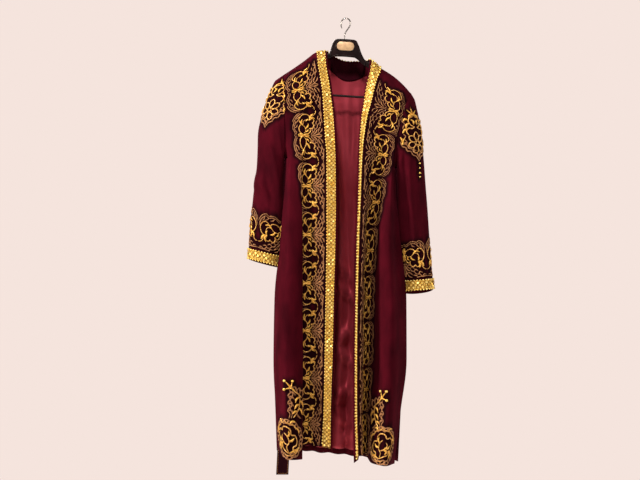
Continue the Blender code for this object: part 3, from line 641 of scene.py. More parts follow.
class Chart:
    """A surface resampled evenly: s is the way across and t the way down, in mm."""

    STEP = 2.0
    LAST = 1.001             # keeps a place inside the last cell

    def __init__(self, grid, origin=0, way=1, outward=1, even_width=None):
        origin %= grid.shape[1]
        across = np.linalg.norm(np.diff(grid, axis=1), axis=2).cumsum(axis=1)
        across = np.hstack([np.zeros((len(grid), 1)), across])
        across -= across[:, origin:origin + 1]
        if even_width:
            across *= even_width / across[:, -1:]
        down = np.linalg.norm(np.diff(grid[:, origin], axis=0), axis=1).cumsum()
        down = np.concatenate([[0], down])
        self.way, self.length = way, down[-1]
        self.strip = bool(even_width)
        self.drop = np.array([grid[:, origin, 2], down])
        self.low = across.min()
        samples_s = np.arange(self.low, across.max() + self.STEP, self.STEP)
        samples_t = np.arange(0, down[-1] + self.STEP, self.STEP)
        index = np.interp(samples_t, down, np.arange(len(down)))
        row = np.minimum(index.astype(int), len(down) - 2)
        table = []
        for number, share in zip(row, index - row):
            line = mix(grid[number], grid[number + 1], share)
            length = mix(across[number], across[number + 1], share)
            table.append([np.interp(samples_s, length, line[:, axis]) for axis in range(3)])
        self.points = np.array(table).transpose(0, 2, 1)
        self.normals = grid_normals(self.points, outward)

    def down_at(self, z):
        """How far down the cloth a height lies."""
        heights, lengths = self.drop
        return np.interp(-np.asarray(z, float), -heights, lengths)

    def place(self, s, t, height):
        """Points of the cloth in millimetres, each lifted off it by its height."""
        exact = (self.way * s - self.low) / self.STEP
        column = np.clip(exact, 0, self.points.shape[1] - self.LAST)
        row = np.clip(t / self.STEP, 0, self.points.shape[0] - self.LAST)
        c, r = column.astype(int), row.astype(int)
        u, v = (column - c)[:, None], (row - r)[:, None]

        def blend(table):
            return mix(mix(table[r, c], table[r, c + 1], u),
                       mix(table[r + 1, c], table[r + 1, c + 1], u), v)

        placed = blend(self.points) + unit(blend(self.normals)) * height[:, None]
        if self.strip:
            placed += (exact - column)[:, None] * (self.points[r, c + 1] - self.points[r, c])
        return placed


def as_array(rows):
    return np.array([[tuple(point) for point in row] for row in rows])


@functools.lru_cache(maxsize=None)
def cloth_grid(name):
    """The creased grid of a panel or sleeve, and which way its normals point out."""
    outward = 1
    if name in FRONTS:
        table, sleeve, outward = FRONTS[name]
        rows = [front_section(table, sleeve, level) for level in level_rows()]
    elif name in SLEEVES:
        table, outward = SLEEVES[name]
        rows = finer(as_array(sleeve_grid(table)), FINER_COLUMNS, 1)
    else:
        rows = [back_section(level) for level in level_rows()]
    return creased(as_array(rows), outward, name, sizes().crease_depth), outward


def sleeve_chart(grid, outward):
    """A sleeve's surface laid out twice round, with s = 0 on its outer ridge."""
    doubled = np.concatenate([grid[:, :-1], grid], axis=1)
    return Chart(doubled, grid.shape[1] - 1, 1, outward)


def level_chart(name):
    """A sleeve's surface on level lines."""
    grid, outward = cloth_grid(name)
    heights = np.arange(grid[0, 0, 2] - 1, grid[:, :, 2].min() + 1, -LEVEL_STEP)
    columns = [[np.interp(-heights, -column[:, 2], column[:, axis]) for axis in range(3)]
               for column in grid.transpose(1, 0, 2)]
    return sleeve_chart(np.array(columns).transpose(2, 0, 1), outward)


# ---------------------------------------------------------------- objects

LEVEL_STEP = 3.0         # between the level lines round a sleeve
LINE_STEP = 2.6          # between the points of an embroidered line
WIRE_STEP = 1.5          # and of a wire
TUBE_RISE = .22          # a tube's middle stands this share of its width off the cloth
THREAD_RELIEF = .62      # threads are pressed down to this share of their height
BEAD_RISE = .9           # a bead's middle lies this many radii off the cloth
BEAD_LIFT = .6


def sizes():
    return bpy.context.scene.robe_sizes


def colours():
    return bpy.context.scene.robe_colours


def mm(value):
    """A setting in metres as millimetres."""
    return value / MILLIMETRE


def link(name, data):
    """A new object in the scene, at the origin."""
    made = bpy.data.objects.new(name, data)
    bpy.context.scene.collection.objects.link(made)
    return made


def add_piece(name, made, finish_name, smooth=True):
    """Turns a bmesh in millimetres into a piece that rides on the robe's body."""
    made.transform(Matrix.Scale(MILLIMETRE, 4))
    for face in made.faces:
        face.smooth = smooth
    mesh = bpy.data.meshes.new(name)
    made.to_mesh(mesh)
    made.free()
    mesh.materials.append(finish(finish_name))
    piece = link(name, mesh)
    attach(piece, BODY)
    return piece


def declare(piece, node, rests_on="hanger_body", held="hung", **cut):
    """Hides the solid that a piece of cloth stands for; what it rests on, how it hangs and how it
    was cut are not used.
    """
    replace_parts(piece, node)


def grid_surface(points):
    """A Blender grid whose corners are moved to the given rows of points."""
    surface = bmesh.new()
    last_row, last_column = len(points) - 1, len(points[0]) - 1
    bmesh.ops.create_grid(surface, x_segments=last_column, y_segments=last_row, size=1)
    for vert in surface.verts:
        column = round((vert.co.x + 1) / 2 * last_column)
        row = round((vert.co.y + 1) / 2 * last_row)
        vert.co = points[row][column]
    bmesh.ops.remove_doubles(surface, verts=surface.verts, dist=1e-4)
    return surface


def cloth(name, points, finish_name, thickness, lift=0.0, turned=False, centred=False):
    """A cloth wall under the surface, round it, or its lift away from it, as on the solids."""
    surface = grid_surface(points)
    if turned:
        bmesh.ops.reverse_faces(surface, faces=surface.faces)
    piece = add_piece(name, surface, finish_name)
    wall = piece.modifiers.new("wall", "SOLIDIFY")
    wall.thickness = thickness * MILLIMETRE
    wall.use_even_offset = True
    wall.use_quality_normals = True
    side = 1 if lift > 0 else -1
    wall.offset = 0 if centred else side + 2 * lift / thickness
    return piece


def smooth_line(points, spacing=LINE_STEP):
    """A smooth line through the points, sampled about every spacing."""
    knots = np.array(points, float)
    knots = np.vstack([2 * knots[0] - knots[1], knots, 2 * knots[-1] - knots[-2]])
    line = []
    for a, b, c, d in zip(knots, knots[1:], knots[2:], knots[3:]):
        count = max(2, round(float(np.linalg.norm(c - b)) / spacing))
        line += [cubic(a, b, c, d, x) for x in np.arange(count) / count]
    return np.array(line + [knots[-2]])


def taper(kind, shares):
    """A stroke's thickness along it, from 0 to 1: leaves swell and drops fill out."""
    if kind == "leaf":
        return np.maximum(.12, np.sin(math.pi * np.minimum(shares * .8 + .12, 1)))
    if kind == "drop":
        return np.maximum(.2, shares ** .7)
    return np.minimum(1, .45 + 6 * np.minimum(shares, 1 - shares))


def tubes(strokes):
    """Round tubes along flat strokes (kind, width, line), as one bmesh in mm."""
    curve = bpy.data.curves.new("strokes", "CURVE")
    curve.dimensions = "3D"
    curve.bevel_depth = 1
    curve.bevel_resolution = 0
    curve.use_fill_caps = True
    for kind, width, line in strokes:
        spline = curve.splines.new("POLY")
        spline.points.add(len(line) - 1)
        radius = width / 2 * taper(kind, np.linspace(0, 1, len(line)))
        for point, (s, t), r in zip(spline.points, line, radius):
            point.co = (s, t, width * TUBE_RISE, 1)
            point.radius = r
    holder = link("strokes", curve)
    bpy.context.view_layer.update()
    graph = bpy.context.evaluated_depsgraph_get()
    mesh = bpy.data.meshes.new_from_object(holder.evaluated_get(graph))
    made = bmesh.new()
    made.from_mesh(mesh)
    bpy.data.objects.remove(holder)
    bpy.data.curves.remove(curve)
    bpy.data.meshes.remove(mesh)
    return made


def wrap(made, surface, lift, relief=1.0):
    """Lays a flat bmesh (across, down, height) on a chart's cloth."""
    flat = np.array([vert.co for vert in made.verts])
    placed = surface.place(flat[:, 0], flat[:, 1], flat[:, 2] * relief + lift)
    for vert, point in zip(made.verts, placed):
        vert.co = point
    bmesh.ops.recalc_face_normals(made, faces=made.faces)
    return made


def upright(strokes, depth, move):
    """Tubes along strokes drawn in the front view (x, z), standing out along Y."""
    made = tubes(strokes)
    for vert in made.verts:
        x, z, height = vert.co
        vert.co = (x, height * depth, z)
    made.transform(move)
    bmesh.ops.recalc_face_normals(made, faces=made.faces)
    return made


def embroider(name, strokes, surface, finish_name, lift):
    made = wrap(tubes(strokes), surface, lift, THREAD_RELIEF)
    return add_piece(name, made, finish_name)


def beading(name, places, surface, lift=BEAD_LIFT):
    """Round gilt beads at places (across, down, radius) on the cloth."""
    made = bmesh.new()
    for s, t, radius in places:
        bmesh.ops.create_icosphere(made, subdivisions=1, radius=radius,
                                   matrix=Matrix.Translation((s, t, radius * BEAD_RISE)))
    return add_piece(name, wrap(made, surface, lift), "gilt_sequin")


# ---------------------------------------------------------------- motifs

# A motif's rows are kinds of stroke, their width, and then the line of each stroke.

# Half a cartouche of the front band, drawn flat: across the band from the braid
# (0) to its outer edge (88), and along it from the knot (0) to the gap between
# two cartouches (72.5).
HALF_LENGTH = 72.5
GOLD_HALF = (
    ("cord", 3.9, ((60, 1), (50, 4), (42, 9), (39, 16), (44, 21)), ((44, 21), (37, 20), (31, 24),
     (30, 31), (34, 36)), ((34, 36), (29, 40), (30, 47), (36, 50), (40, 47)), ((40, 47), (41, 56),
     (48, 63), (58, 65), (67, 60), (72, 51), (69, 42), (63, 38))),
    ("cord", 3.6, ((63, 38), (70, 31), (73, 21), (70, 9), (60, 1))),
    ("leaf", 8.6, ((42, 45), (34, 51), (26, 48)), ((42, 48), (37, 57), (29, 62))),
    ("leaf", 7.2, ((43, 46), (48, 48), (52, 44))),
    ("cord", 2.9, ((34, 55), (27, 59), (23, 65), (22, 71))),
    ("cord", 3.2, ((60, 5), (54, 13), (55, 24), (61, 33), (59, 44), (51, 49))),
    ("leaf", 7.2, ((55, 20), (48, 26), (45, 35)), ((60, 30), (66, 39), (63, 51))),
    ("leaf", 6.3, ((55, 11), (49, 12), (46, 18))),
    ("leaf", 6.8, ((58, 0), (67, 3), (77, 2))),
    ("leaf", 7.2, ((62, 0), (53, 3), (44, 1))),
)
TAN_HALF = (
    ("cord", 3.0, ((35, 0), (37, 6), (29, 11), (27, 17), (20, 22), (18, 30), (12, 37), (12, 46),
     (7, 54), (7, 72.5)), ((4, 36), (6, 46), (6, 58), (7, 66))),
    ("drop", 5.0, ((42, 2), (30, 1), (20, 3), (13, 8))),
    ("leaf", 5.5, ((32, 3), (24, 9), (20, 18))),
    ("leaf", 5.1, ((20, 3), (12, 3), (6, 0))),
    ("leaf", 5.0, ((18, 9), (15, 18), (10, 25))),
    ("leaf", 4.7, ((12, 9), (7, 14), (5, 22))),
    ("leaf", 4.5, ((10, 27), (9, 35), (5, 41))),
    ("leaf", 4.4, ((30, 10), (35, 15), (31, 23)), ((25, 19), (30, 24), (25, 32))),
    ("leaf", 4.2, ((18, 30), (23, 35), (19, 43))),
    ("leaf", 4.1, ((11, 44), (17, 48), (15, 57))),
    ("leaf", 3.6, ((7, 57), (11, 60), (10, 68))),
    ("cord", 3.0, ((88, 0), (85, 5), (87, 12), (91, 22), (90, 34), (87, 42), (90, 50), (86, 59),
     (79, 66), (69, 71))),
    ("cord", 2.6, ((83, 2), (81, 9), (86, 20), (86, 32), (82, 42), (85, 50), (81, 57), (74, 63),
     (64, 67))),
    ("leaf", 3.6, ((87, 24), (80, 28), (77, 36)), ((85, 42), (79, 44), (74, 52)), ((83, 55),
     (77, 55), (71, 60)), ((78, 62), (69, 66), (58, 69))),
)

# Heights of the gaps between a front's cartouches, with each cartouche's breadth.
BANDS = {
    "front_right": ((-128, 1.2), (-281, 1.04), (-437, 1), (-584, 1), (-732, 1), (-877, 1),
                    (-1021, 1), (-1165, 1), (-1300, 1)),
    "front_left": ((-186, 1.2), (-339, 1.04), (-485, 1), (-634, 1), (-778, 1), (-918, 1),
                   (-1058, 1), (-1196, 1), (-1332, 1)),
}
BAND_START = 3.0         # the band starts this far outside the braid
BAND_WEIGHT = {"front_right": (.96, 1.0), "front_left": (.8, .62)}

# A finial and the flare that joins it to the band: across from the finial's
# middle outwards, and down from it.
GOLD_FLARE = (
    ("drop", 7.5, ((17, -20), (9, -11), (-2, 2)), ((-5, -19), (-3, -10), (0, 3))),
    ("drop", 7.0, ((18, 5), (9, 2), (-3, 0))),
    ("drop", 8.0, ((-16, 13), (-6, 4), (2, -2))),
    ("cord", 4.8, ((-2, 2), (-16, 14), (-27, 20), (-38, 30))),
    ("cord", 4.9, ((-27, 19), (-32, 34), (-31, 50), (-24, 66), (-10, 82))),
    ("leaf", 8.0, ((-29, 28), (-19, 32), (-14, 42)), ((-31, 38), (-41, 44), (-46, 56)), ((-29, 48),
     (-19, 50), (-12, 60)), ((-27, 58), (-37, 64), (-42, 76))),
    ("leaf", 7.0, ((-22, 66), (-14, 66), (-6, 72))),
)
TAN_FLARE = (
    ("cord", 3.8, ((-4, 0), (-14, -2), (-20, 6), (-30, 2), (-36, 10), (-48, 8)), ((4, 4), (1, 14),
     (8, 22), (1, 32), (8, 42), (1, 52), (8, 62), (1, 72), (4, 84))),
    ("cord", 3.2, ((-3, 10), (-6, 22), (1, 34), (-6, 46), (1, 58), (-6, 70), (-3, 84))),
    ("leaf", 6.0, ((1, 12), (-7, 14), (-15, 22)), ((6, 24), (-4, 26), (-12, 33)), ((6, 43),
     (-3, 45), (-10, 52)), ((6, 62), (-2, 63), (-9, 70)), ((-14, 0), (-20, 10), (-22, 18)),
     ((-30, 4), (-33, 12), (-30, 20)), ((-42, 8), (-45, 18), (-42, 28)), ((-48, 34), (-41, 40),
     (-38, 50)), ((-50, 50), (-45, 58), (-46, 70)), ((-22, 72), (-28, 80), (-38, 86))),
)
FINIAL_BEADS = ((17, -20), (-5, -19), (18, 5))

# Middles of the finial and of the medallion under it, both across from the
# braid and up from the hem.
CORNERS = {"front_right": ((178, 186), (196, 50)), "front_left": ((150, 176), (158, 50)),
           "back_panel": ((62, 168), (74, 50))}

# Sleeve caps: across from the pendant's axis, and down from its crown.
GOLD_PENDANT = (
    ("drop", 8.5, ((-14, -2), (-7, 6), (0, 14)), ((0, -10), (0, 2), (0, 14))),
    ("leaf", 8.0, ((-2, 12), (-12, 16), (-17, 24))),
    ("cord", 4.6, ((-2, 18), (-14, 22), (-21, 34), (-15, 46), (-4, 50))),
    ("leaf", 8.0, ((-20, 30), (-30, 27), (-37, 34)), ((-20, 39), (-30, 45), (-33, 56))),
    ("cord", 4.3, ((-4, 50), (-14, 55), (-26, 55), (-33, 65), (-27, 76))),
    ("leaf", 7.5, ((-12, 28), (-5, 33), (-7, 43)), ((-26, 57), (-38, 60), (-46, 70))),
    ("drop", 8.0, ((-40, 82), (-46, 92), (-50, 104))),
    ("leaf", 8.0, ((-54, 82), (-49, 93), (-50, 104))),
)
TAN_PENDANT = (
    ("cord", 4.2, ((-56, 96), (-50, 110), (-41, 113), (-37, 123), (-26, 125), (-20, 135),
     (-9, 139), (0, 153))),
    ("cord", 3.4, ((-50, 92), (-46, 102), (-37, 105), (-31, 115), (-22, 117), (-15, 127),
     (-6, 131), (0, 142))),
    ("cord", 3.2, ((-44, 72), (-38, 80), (-42, 88), (-36, 96), (-38, 104))),
    ("cord", 3.0, ((-34, 20), (-40, 32), (-34, 42), (-42, 54), (-38, 66))),
    ("leaf", 6.0, ((-46, 104), (-40, 99), (-35, 102)), ((-34, 116), (-29, 110), (-23, 113)),
     ((-19, 128), (-14, 120), (-8, 122))),
    ("leaf", 5.6, ((-6, 128), (-3, 134), (0, 145))),
)
FLOWER = (0, 98)         # middle of the pendant's flower
FLOWER_RING = (13, 13, 4, .1)
FLOWER_TURN = .05        # share of a full turn
PETALS = 7
PETAL = ((8, 0), (14, -7), (25, -8), (33, 0), (25, 8), (14, 7), (8, 0))
TASSELS = {"sleeve_right": (),
           "sleeve_left": ((0, 160, 3.0), (0, 174, 2.6), (0, 189, 3.4), (0, 201, 2.6))}
# Each pendant's axis, out from the sleeve's outer ridge, and the height of its crown.
CAPS = {"sleeve_right": (50, -190), "sleeve_left": (48, -284)}
CUFF_GAPS = {"sleeve_right": 52, "sleeve_left": 40}
CUFF_BREADTH = 1.36

# The medallion's vines, and the fork below them, which is mirrored. Its rings of lobes
# are given by width, height, lobes and their depth, and its leaves point inwards.
GOLD_RING = (
    ("cord", 4.6, ((-8, 34), (-22, 30), (-24, 20), (-34, 16), (-38, 4), (-32, -8), (-20, -10),
     (-18, -22), (-6, -30), (8, -28), (14, -18), (26, -20), (37, -12), (38, 2), (30, 12),
     (20, 12))),
    ("cord", 4.2, ((20, 12), (18, 22), (6, 28), (-8, 34))),
    ("cord", 3.8, ((-8, 33), (-4, 20), (-12, 8), (-8, -6), (2, -14)), ((-6, 14), (6, 10), (16, 0),
     (12, -8))),
    ("leaf", 8.5, ((20, 12), (30, 18), (34, 28)), ((20, 12), (26, 22), (22, 32))),
    ("leaf", 7.5, ((-12, 6), (-22, 4), (-28, -2)), ((-8, -4), (-14, -12), (-12, -20)), ((6, 10),
     (14, 14), (10, 22)), ((8, 6), (18, 6), (26, 0))),
    ("leaf", 8.0, ((-24, 26), (-36, 28), (-42, 20)), ((36, -14), (46, -14), (50, -4))),
    ("cord", 3.5, ((-46, 10), (-42, 24), (-30, 35), (-14, 40), (4, 39))),
    ("leaf", 6.0, ((-30, 35), (-24, 30), (-14, 32))),
)
GOLD_FORK = (
    ("cord", 4.3, ((0, -49), (-5, -41), (-16, -38), (-28, -34), (-36, -24))),
    ("leaf", 6.5, ((-16, -38), (-24, -44), (-34, -42))),
    ("leaf", 6.0, ((-34, -28), (-44, -22), (-46, -12))),
)
MEDALLION = np.array((124, 98))
LOBES = 13
LOBE_POINTS = 8
OUTER_RING = (124, 98, LOBES, .08)
INNER_RING = (104, 80, LOBES, .09)
LEAF_START = 6           # degrees
LEAF_SHARES = (.98, .9, .78)
LEAF_BEND = .07


def lay(rows, origin, across=(1, 0), along=(0, 1), weight=1.0):
    """The rows' strokes (kind, width, line) from an origin, along the given axes."""
    axes = np.array([across, along])
    return [(kind, width * weight, smooth_line(np.array(line, float) @ axes + origin))
            for kind, width, *lines in rows for line in lines]


def mirrored(rows):
    """The rows, and their images in the line across = 0."""
    return [*rows, *[(kind, width, *[[(-a, b) for a, b in line] for line in lines])
                     for kind, width, *lines in rows]]


def cloud(width, height, lobes, depth):
    """A ring of lobes that meet in cusps."""
    angles = np.linspace(0, 2 * math.pi, lobes * LOBE_POINTS + 1)
    reach = 1 - depth * (1 - np.abs(np.sin(angles * lobes / 2)))
    return np.stack([width / 2 * reach * np.cos(angles), height / 2 * reach * np.sin(angles)],
                    axis=1)


def medallion():
    """Rows of a lobed medallion: its gold and its tan."""
    leaves = []
    for degrees in np.arange(LEAF_START, LEAF_START + 360, 360 / (2 * LOBES)):
        angle = math.radians(degrees)
        way = MEDALLION / 2 * (math.cos(angle), math.sin(angle))
        foot, belly, tip = (way * share for share in LEAF_SHARES)
        leaves.append((foot, belly + np.array((-way[1], way[0])) * LEAF_BEND, tip))
    tan = [("cord", 4.2, cloud(*OUTER_RING)), ("cord", 3.4, cloud(*INNER_RING)),
           ("leaf", 6.6, *leaves)]
    return [*GOLD_RING, *mirrored(GOLD_FORK)], tan


def flower(middle):
    """Rows of looped petals drawn in cord round a small ring."""
    petals = []
    for number in range(PETALS):
        angle = 2 * math.pi * (number / PETALS + FLOWER_TURN)
        c, s = math.cos(angle), math.sin(angle)
        petals.append(np.array(PETAL) @ ((c, s), (-s, c)) + middle)
    return [("cord", 3.8, cloud(*FLOWER_RING) + middle), ("cord", 4.0, *petals)]


def band(rows, surface, gaps, weight):
    """The repeated band between gaps: each cartouche mirrored about its knot."""
    places = surface.down_at([z for z, _ in gaps])
    made = []
    for top, bottom, (_, breadth) in zip(places, places[1:], gaps):
        share = (bottom - top) / 2 / HALF_LENGTH
        for way in (-share, share):
            made += lay(rows, (BAND_START, (top + bottom) / 2), (breadth, 0), (0, way), weight)
    return made


# ---------------------------------------------------------------- finishes

# The deep and the light tone of every finish, then tints that some finishes add.
COLOURS = {
    "velvet": ("#30030d", "#4a0817"), "facing": ("#2a0610", "#3a0a18"),
    # The belt's tones are the velvet's, darkened by painted shade.
    "belt": ("#1a050b", "#25070e"), "satin": ("#84242f", "#b44452"),
    "ground": ("#3a1d0c", "#a8742a"), "braid": ("#b8842c", "#f2ca58"),
    "sequin": ("#f2ca58", "#ffea90"), "cord": ("#b06c2a", "#ffcf70"),
    "bud": ("#c47e2a", "#ffd464"), "stitch": ("#7c4c2e", "#b88450"),
    "hanger": ("#120909", "#1c1011"), "steel": ("#9a9793", "#c9c6c1"),
    "badge": ("#af8f70", "#ceb086"), "floor": ("#efe2dc", "#f5e9e3"),
}
TONES = ("_deep", "_light")
# The first tint is painted shade, laid on the velvet beside the embroidery's threads.
TINTS = {"velvet_painted_shade": "#180207", "velvet_sheen": "#b64c70", "satin_shine": "#e0707c"}
EVEN = (1, 1, 1)


def velvet(tones, sheen):
    """Woven cut-pile velvet: dull straight on and bright where the pile is grazed.

    Brushing leaves patches of nap some 40 mm across, drawn out down the cloth. Its
    tufts are under 0.5 mm, and are drawn at 1.6 mm so that they show.
    """
    # Its marked places take painted shade beside the embroidery.
    return {"tones": tones, "patch": (40, 4, (1, 1, 2.6)), "turn": (.3, .72),
            "relief": (1.6, 2, EVEN), "height": .5, "strength": .35, "painted_shade": True,
            "sockets": {"Roughness": .9, "Specular IOR Level": .04, "Sheen Weight": sheen,
                        "Sheen Roughness": .28, "Sheen Tint": "velvet_sheen"}}


def thread(tones, grain, roughness, metallic):
    """Silk core wound with gilt strip: each turn catches the light on its own."""
    return {"tones": tones, "patch": (grain, 2, EVEN), "turn": (.38, .62),
            "relief": (grain * .7, 2, EVEN), "height": .5, "strength": .6,
            "sockets": {"Roughness": roughness, "Metallic": metallic}}


# A finish is two tones in patches of noise, parted at the ramp's turn, over a relief
# of finer noise of a height in mm and a strength. Noise is given by its size in mm,
# its detail and its stretch along the axes. A socket's text names a tint.
FINISHES = {
    "cotton_velvet": velvet("velvet", .16),
    "facing_velvet": velvet("facing", .03),
    # Velvet with painted shade, for the belt and its loops.
    "belt_velvet_painted_shade": velvet("belt", .03),
    # Woven polyester: long floats shine softly in folds. Warp floats are 0.3 mm apart,
    # and are drawn 2 mm apart along the drop.
    "polyester_satin": {
        "tones": "satin", "patch": (55, 3, (1, 1, 3)), "turn": (.3, .75),
        "relief": (2.0, 2, (1, 1, 9)), "height": .35, "strength": .1,
        "sockets": {"Roughness": .48, "Metallic": .3, "Specular IOR Level": .7,
                    "Specular Tint": "satin_shine", "Sheen Weight": .1,
                    "Sheen Roughness": .4, "Sheen Tint": "satin_shine"}},
    "gilt_braid_ground": thread("ground", 3.4, .55, .3),
    "gilt_braid_weave": thread("braid", 2.4, .38, .35),
    "gilt_sequin": thread("sequin", 9.0, .42, .6),
    "couched_gilt_cord": thread("cord", 2.2, .36, .25),
    "gilt_satin_stitch": thread("bud", 2.0, .34, .3),
    "tan_silk_stitching": thread("stitch", 2.6, .6, .1),
    # A glossy skin with slight ripples from the mould.
    "moulded_polystyrene": {
        "tones": "hanger", "patch": (26, 4, EVEN), "relief": (5, 3, EVEN), "height": .25,
        "strength": .25,
        "sockets": {"Roughness": .34, "IOR": 1.45, "Specular IOR Level": .25}},
    # Bright, with fine drawing marks.
    "nickel_plated_wire": {
        "tones": "steel", "patch": (3, 3, (1, 1, 4)), "relief": (1.5, 2, (1, 1, 5)),
        "height": .1, "strength": .3, "sockets": {"Roughness": .24, "Metallic": 1.0}},
    # A warm satin tan, a little cloudy.
    "lacquered_tan_plate": {
        "tones": "badge", "patch": (14, 3, EVEN), "relief": (2, 2, EVEN), "height": .1,
        "strength": .3, "sockets": {"Roughness": .38, "Metallic": .25}},
    "pale_floor_paint": {"tones": "floor", "patch": (300, 2, EVEN),
                         "sockets": {"Roughness": .9}},
}
PLAIN_TURN = (.35, .65)


def linear(code):
    """An sRGB hex colour as linear red, green and blue."""
    shares = [int(code[i:i + 2], 16) / 255 for i in (1, 3, 5)]
    return tuple(c / 12.92 if c <= .04045 else ((c + .055) / 1.055) ** 2.4 for c in shares)


def tint(name):
    return (*getattr(colours(), name), 1)


def add(tree, kind, settings=None, **inputs):
    """Adds a node with its settings, and its inputs' values or links."""
    node = tree.nodes.new(kind)
    for name, value in (settings or {}).items():
        setattr(node, name, value)
    for name, value in inputs.items():
        socket = node.inputs[int(name[1:]) if name[1:].isdigit() else name]
        if isinstance(value, bpy.types.NodeSocket):
            tree.links.new(value, socket)
        else:
            socket.default_value = value
    return node


def noise_at(tree, size, detail, stretch):
    """Noise whose patches are about size mm across, stretched along the axes."""
    place = add(tree, "ShaderNodeTexCoord").outputs["Object"]
    scale = tuple(1 / (MILLIMETRE * size * s) for s in stretch)
    mapped = add(tree, "ShaderNodeMapping", Vector=place, Scale=scale).outputs[0]
    return add(tree, "ShaderNodeTexNoise", Vector=mapped, Scale=1.0, Detail=detail).outputs[0]


def two_tones(tree, factor, tones, turn):
    ramp = add(tree, "ShaderNodeValToRGB", _0=factor)
    for element, tone, position in zip(ramp.color_ramp.elements, TONES, turn):
        element.position = position
        element.color = tint(tones + tone)
    return ramp.outputs[0]


@functools.lru_cache(maxsize=None)
def finish(name):
    """The material of a row of FINISHES."""
    row = FINISHES[name]
    material = bpy.data.materials.new(name)
    material.use_nodes = True
    tree = material.node_tree
    shader = tree.nodes["Principled BSDF"]
    tone = two_tones(tree, noise_at(tree, *row["patch"]), row["tones"],
                     row.get("turn", PLAIN_TURN))
    if "painted_shade" in row:
        # Painted shade: the velvet is darkened between and beside the embroidery's threads.
        mark = add(tree, "ShaderNodeAttribute", {"attribute_name": "painted_shade"})
        tone = add(tree, "ShaderNodeMix", {"data_type": "RGBA"}, _0=mark.outputs["Fac"],
                   _6=tone, _7=tint("velvet_painted_shade")).outputs[2]
    tree.links.new(tone, shader.inputs["Base Color"])
    if "relief" in row:
        bump = add(tree, "ShaderNodeBump", _3=noise_at(tree, *row["relief"]),
                   Strength=row["strength"], Distance=row["height"] * MILLIMETRE)
        tree.links.new(bump.outputs[0], shader.inputs["Normal"])
    for socket, value in row["sockets"].items():
        shader.inputs[socket].default_value = tint(value) if isinstance(value, str) else value
    return material


# ---------------------------------------------------------------- settings


def colour(code, name):
    title = name.replace("_", ", ").capitalize()
    return bpy.props.FloatVectorProperty(name=title, description="Tone of the finish",
                                         subtype="COLOR", size=3, min=0, max=1,
                                         default=linear(code))


def length(value, name, description):
    return bpy.props.FloatProperty(name=name, description=description, default=value,
                                   subtype="DISTANCE", unit="LENGTH")


def tones():
    """The hex code of every tone and tint."""
    codes = {key + tone: code for key, pair in COLOURS.items()
             for tone, code in zip(TONES, pair)}
    return {**codes, **TINTS}


class RobeSizes(bpy.types.PropertyGroup):
    crease_depth: bpy.props.FloatProperty(
        name="Crease depth", description="How deep the cloth's creases are pressed",
        default=1.0, min=0, max=2, subtype="FACTOR")
    velvet_wall: length(CLOTH * MILLIMETRE, "Velvet", "Thickness of velvet and interlining")
    trim_wall: length(TRIM * MILLIMETRE, "Trim", "Thickness of braid, lining and facing")
    sequin: length(.0034, "Sequin", "Radius of the sequins on the braid")
    bead: length(.0042, "Bead", "Radius of the beads on finials")


class RobeColours(bpy.types.PropertyGroup):
    """The deep and the light tone of every finish, and the tints"""

    __annotations__ = {name: colour(code, name) for name, code in tones().items()}


# ---------------------------------------------------------------- pieces

PLATE_FACE = -7.0        # y of the plate's front at the badge
RELIEF = .8              # share of a round bead's height that stands off the plate
RIM = {"reach": (-52, 61), "share": .93, "below_top": 4.5, "above_bottom": 3.5,
       "width": 3.4, "step": 3.0}
RING_STEP = 5.0          # between the moulding's rings
BADGE_FRAME = {"width": 2.6, "beyond": 2.0, "roundness": .55, "points": 41}
BADGE_ENDS = .9          # share of the badge's half height that rounds its ends
BADGE_EDGE = .35         # bevel of its front edge
BEND_POINTS = 7          # points of the trouser bar's bends


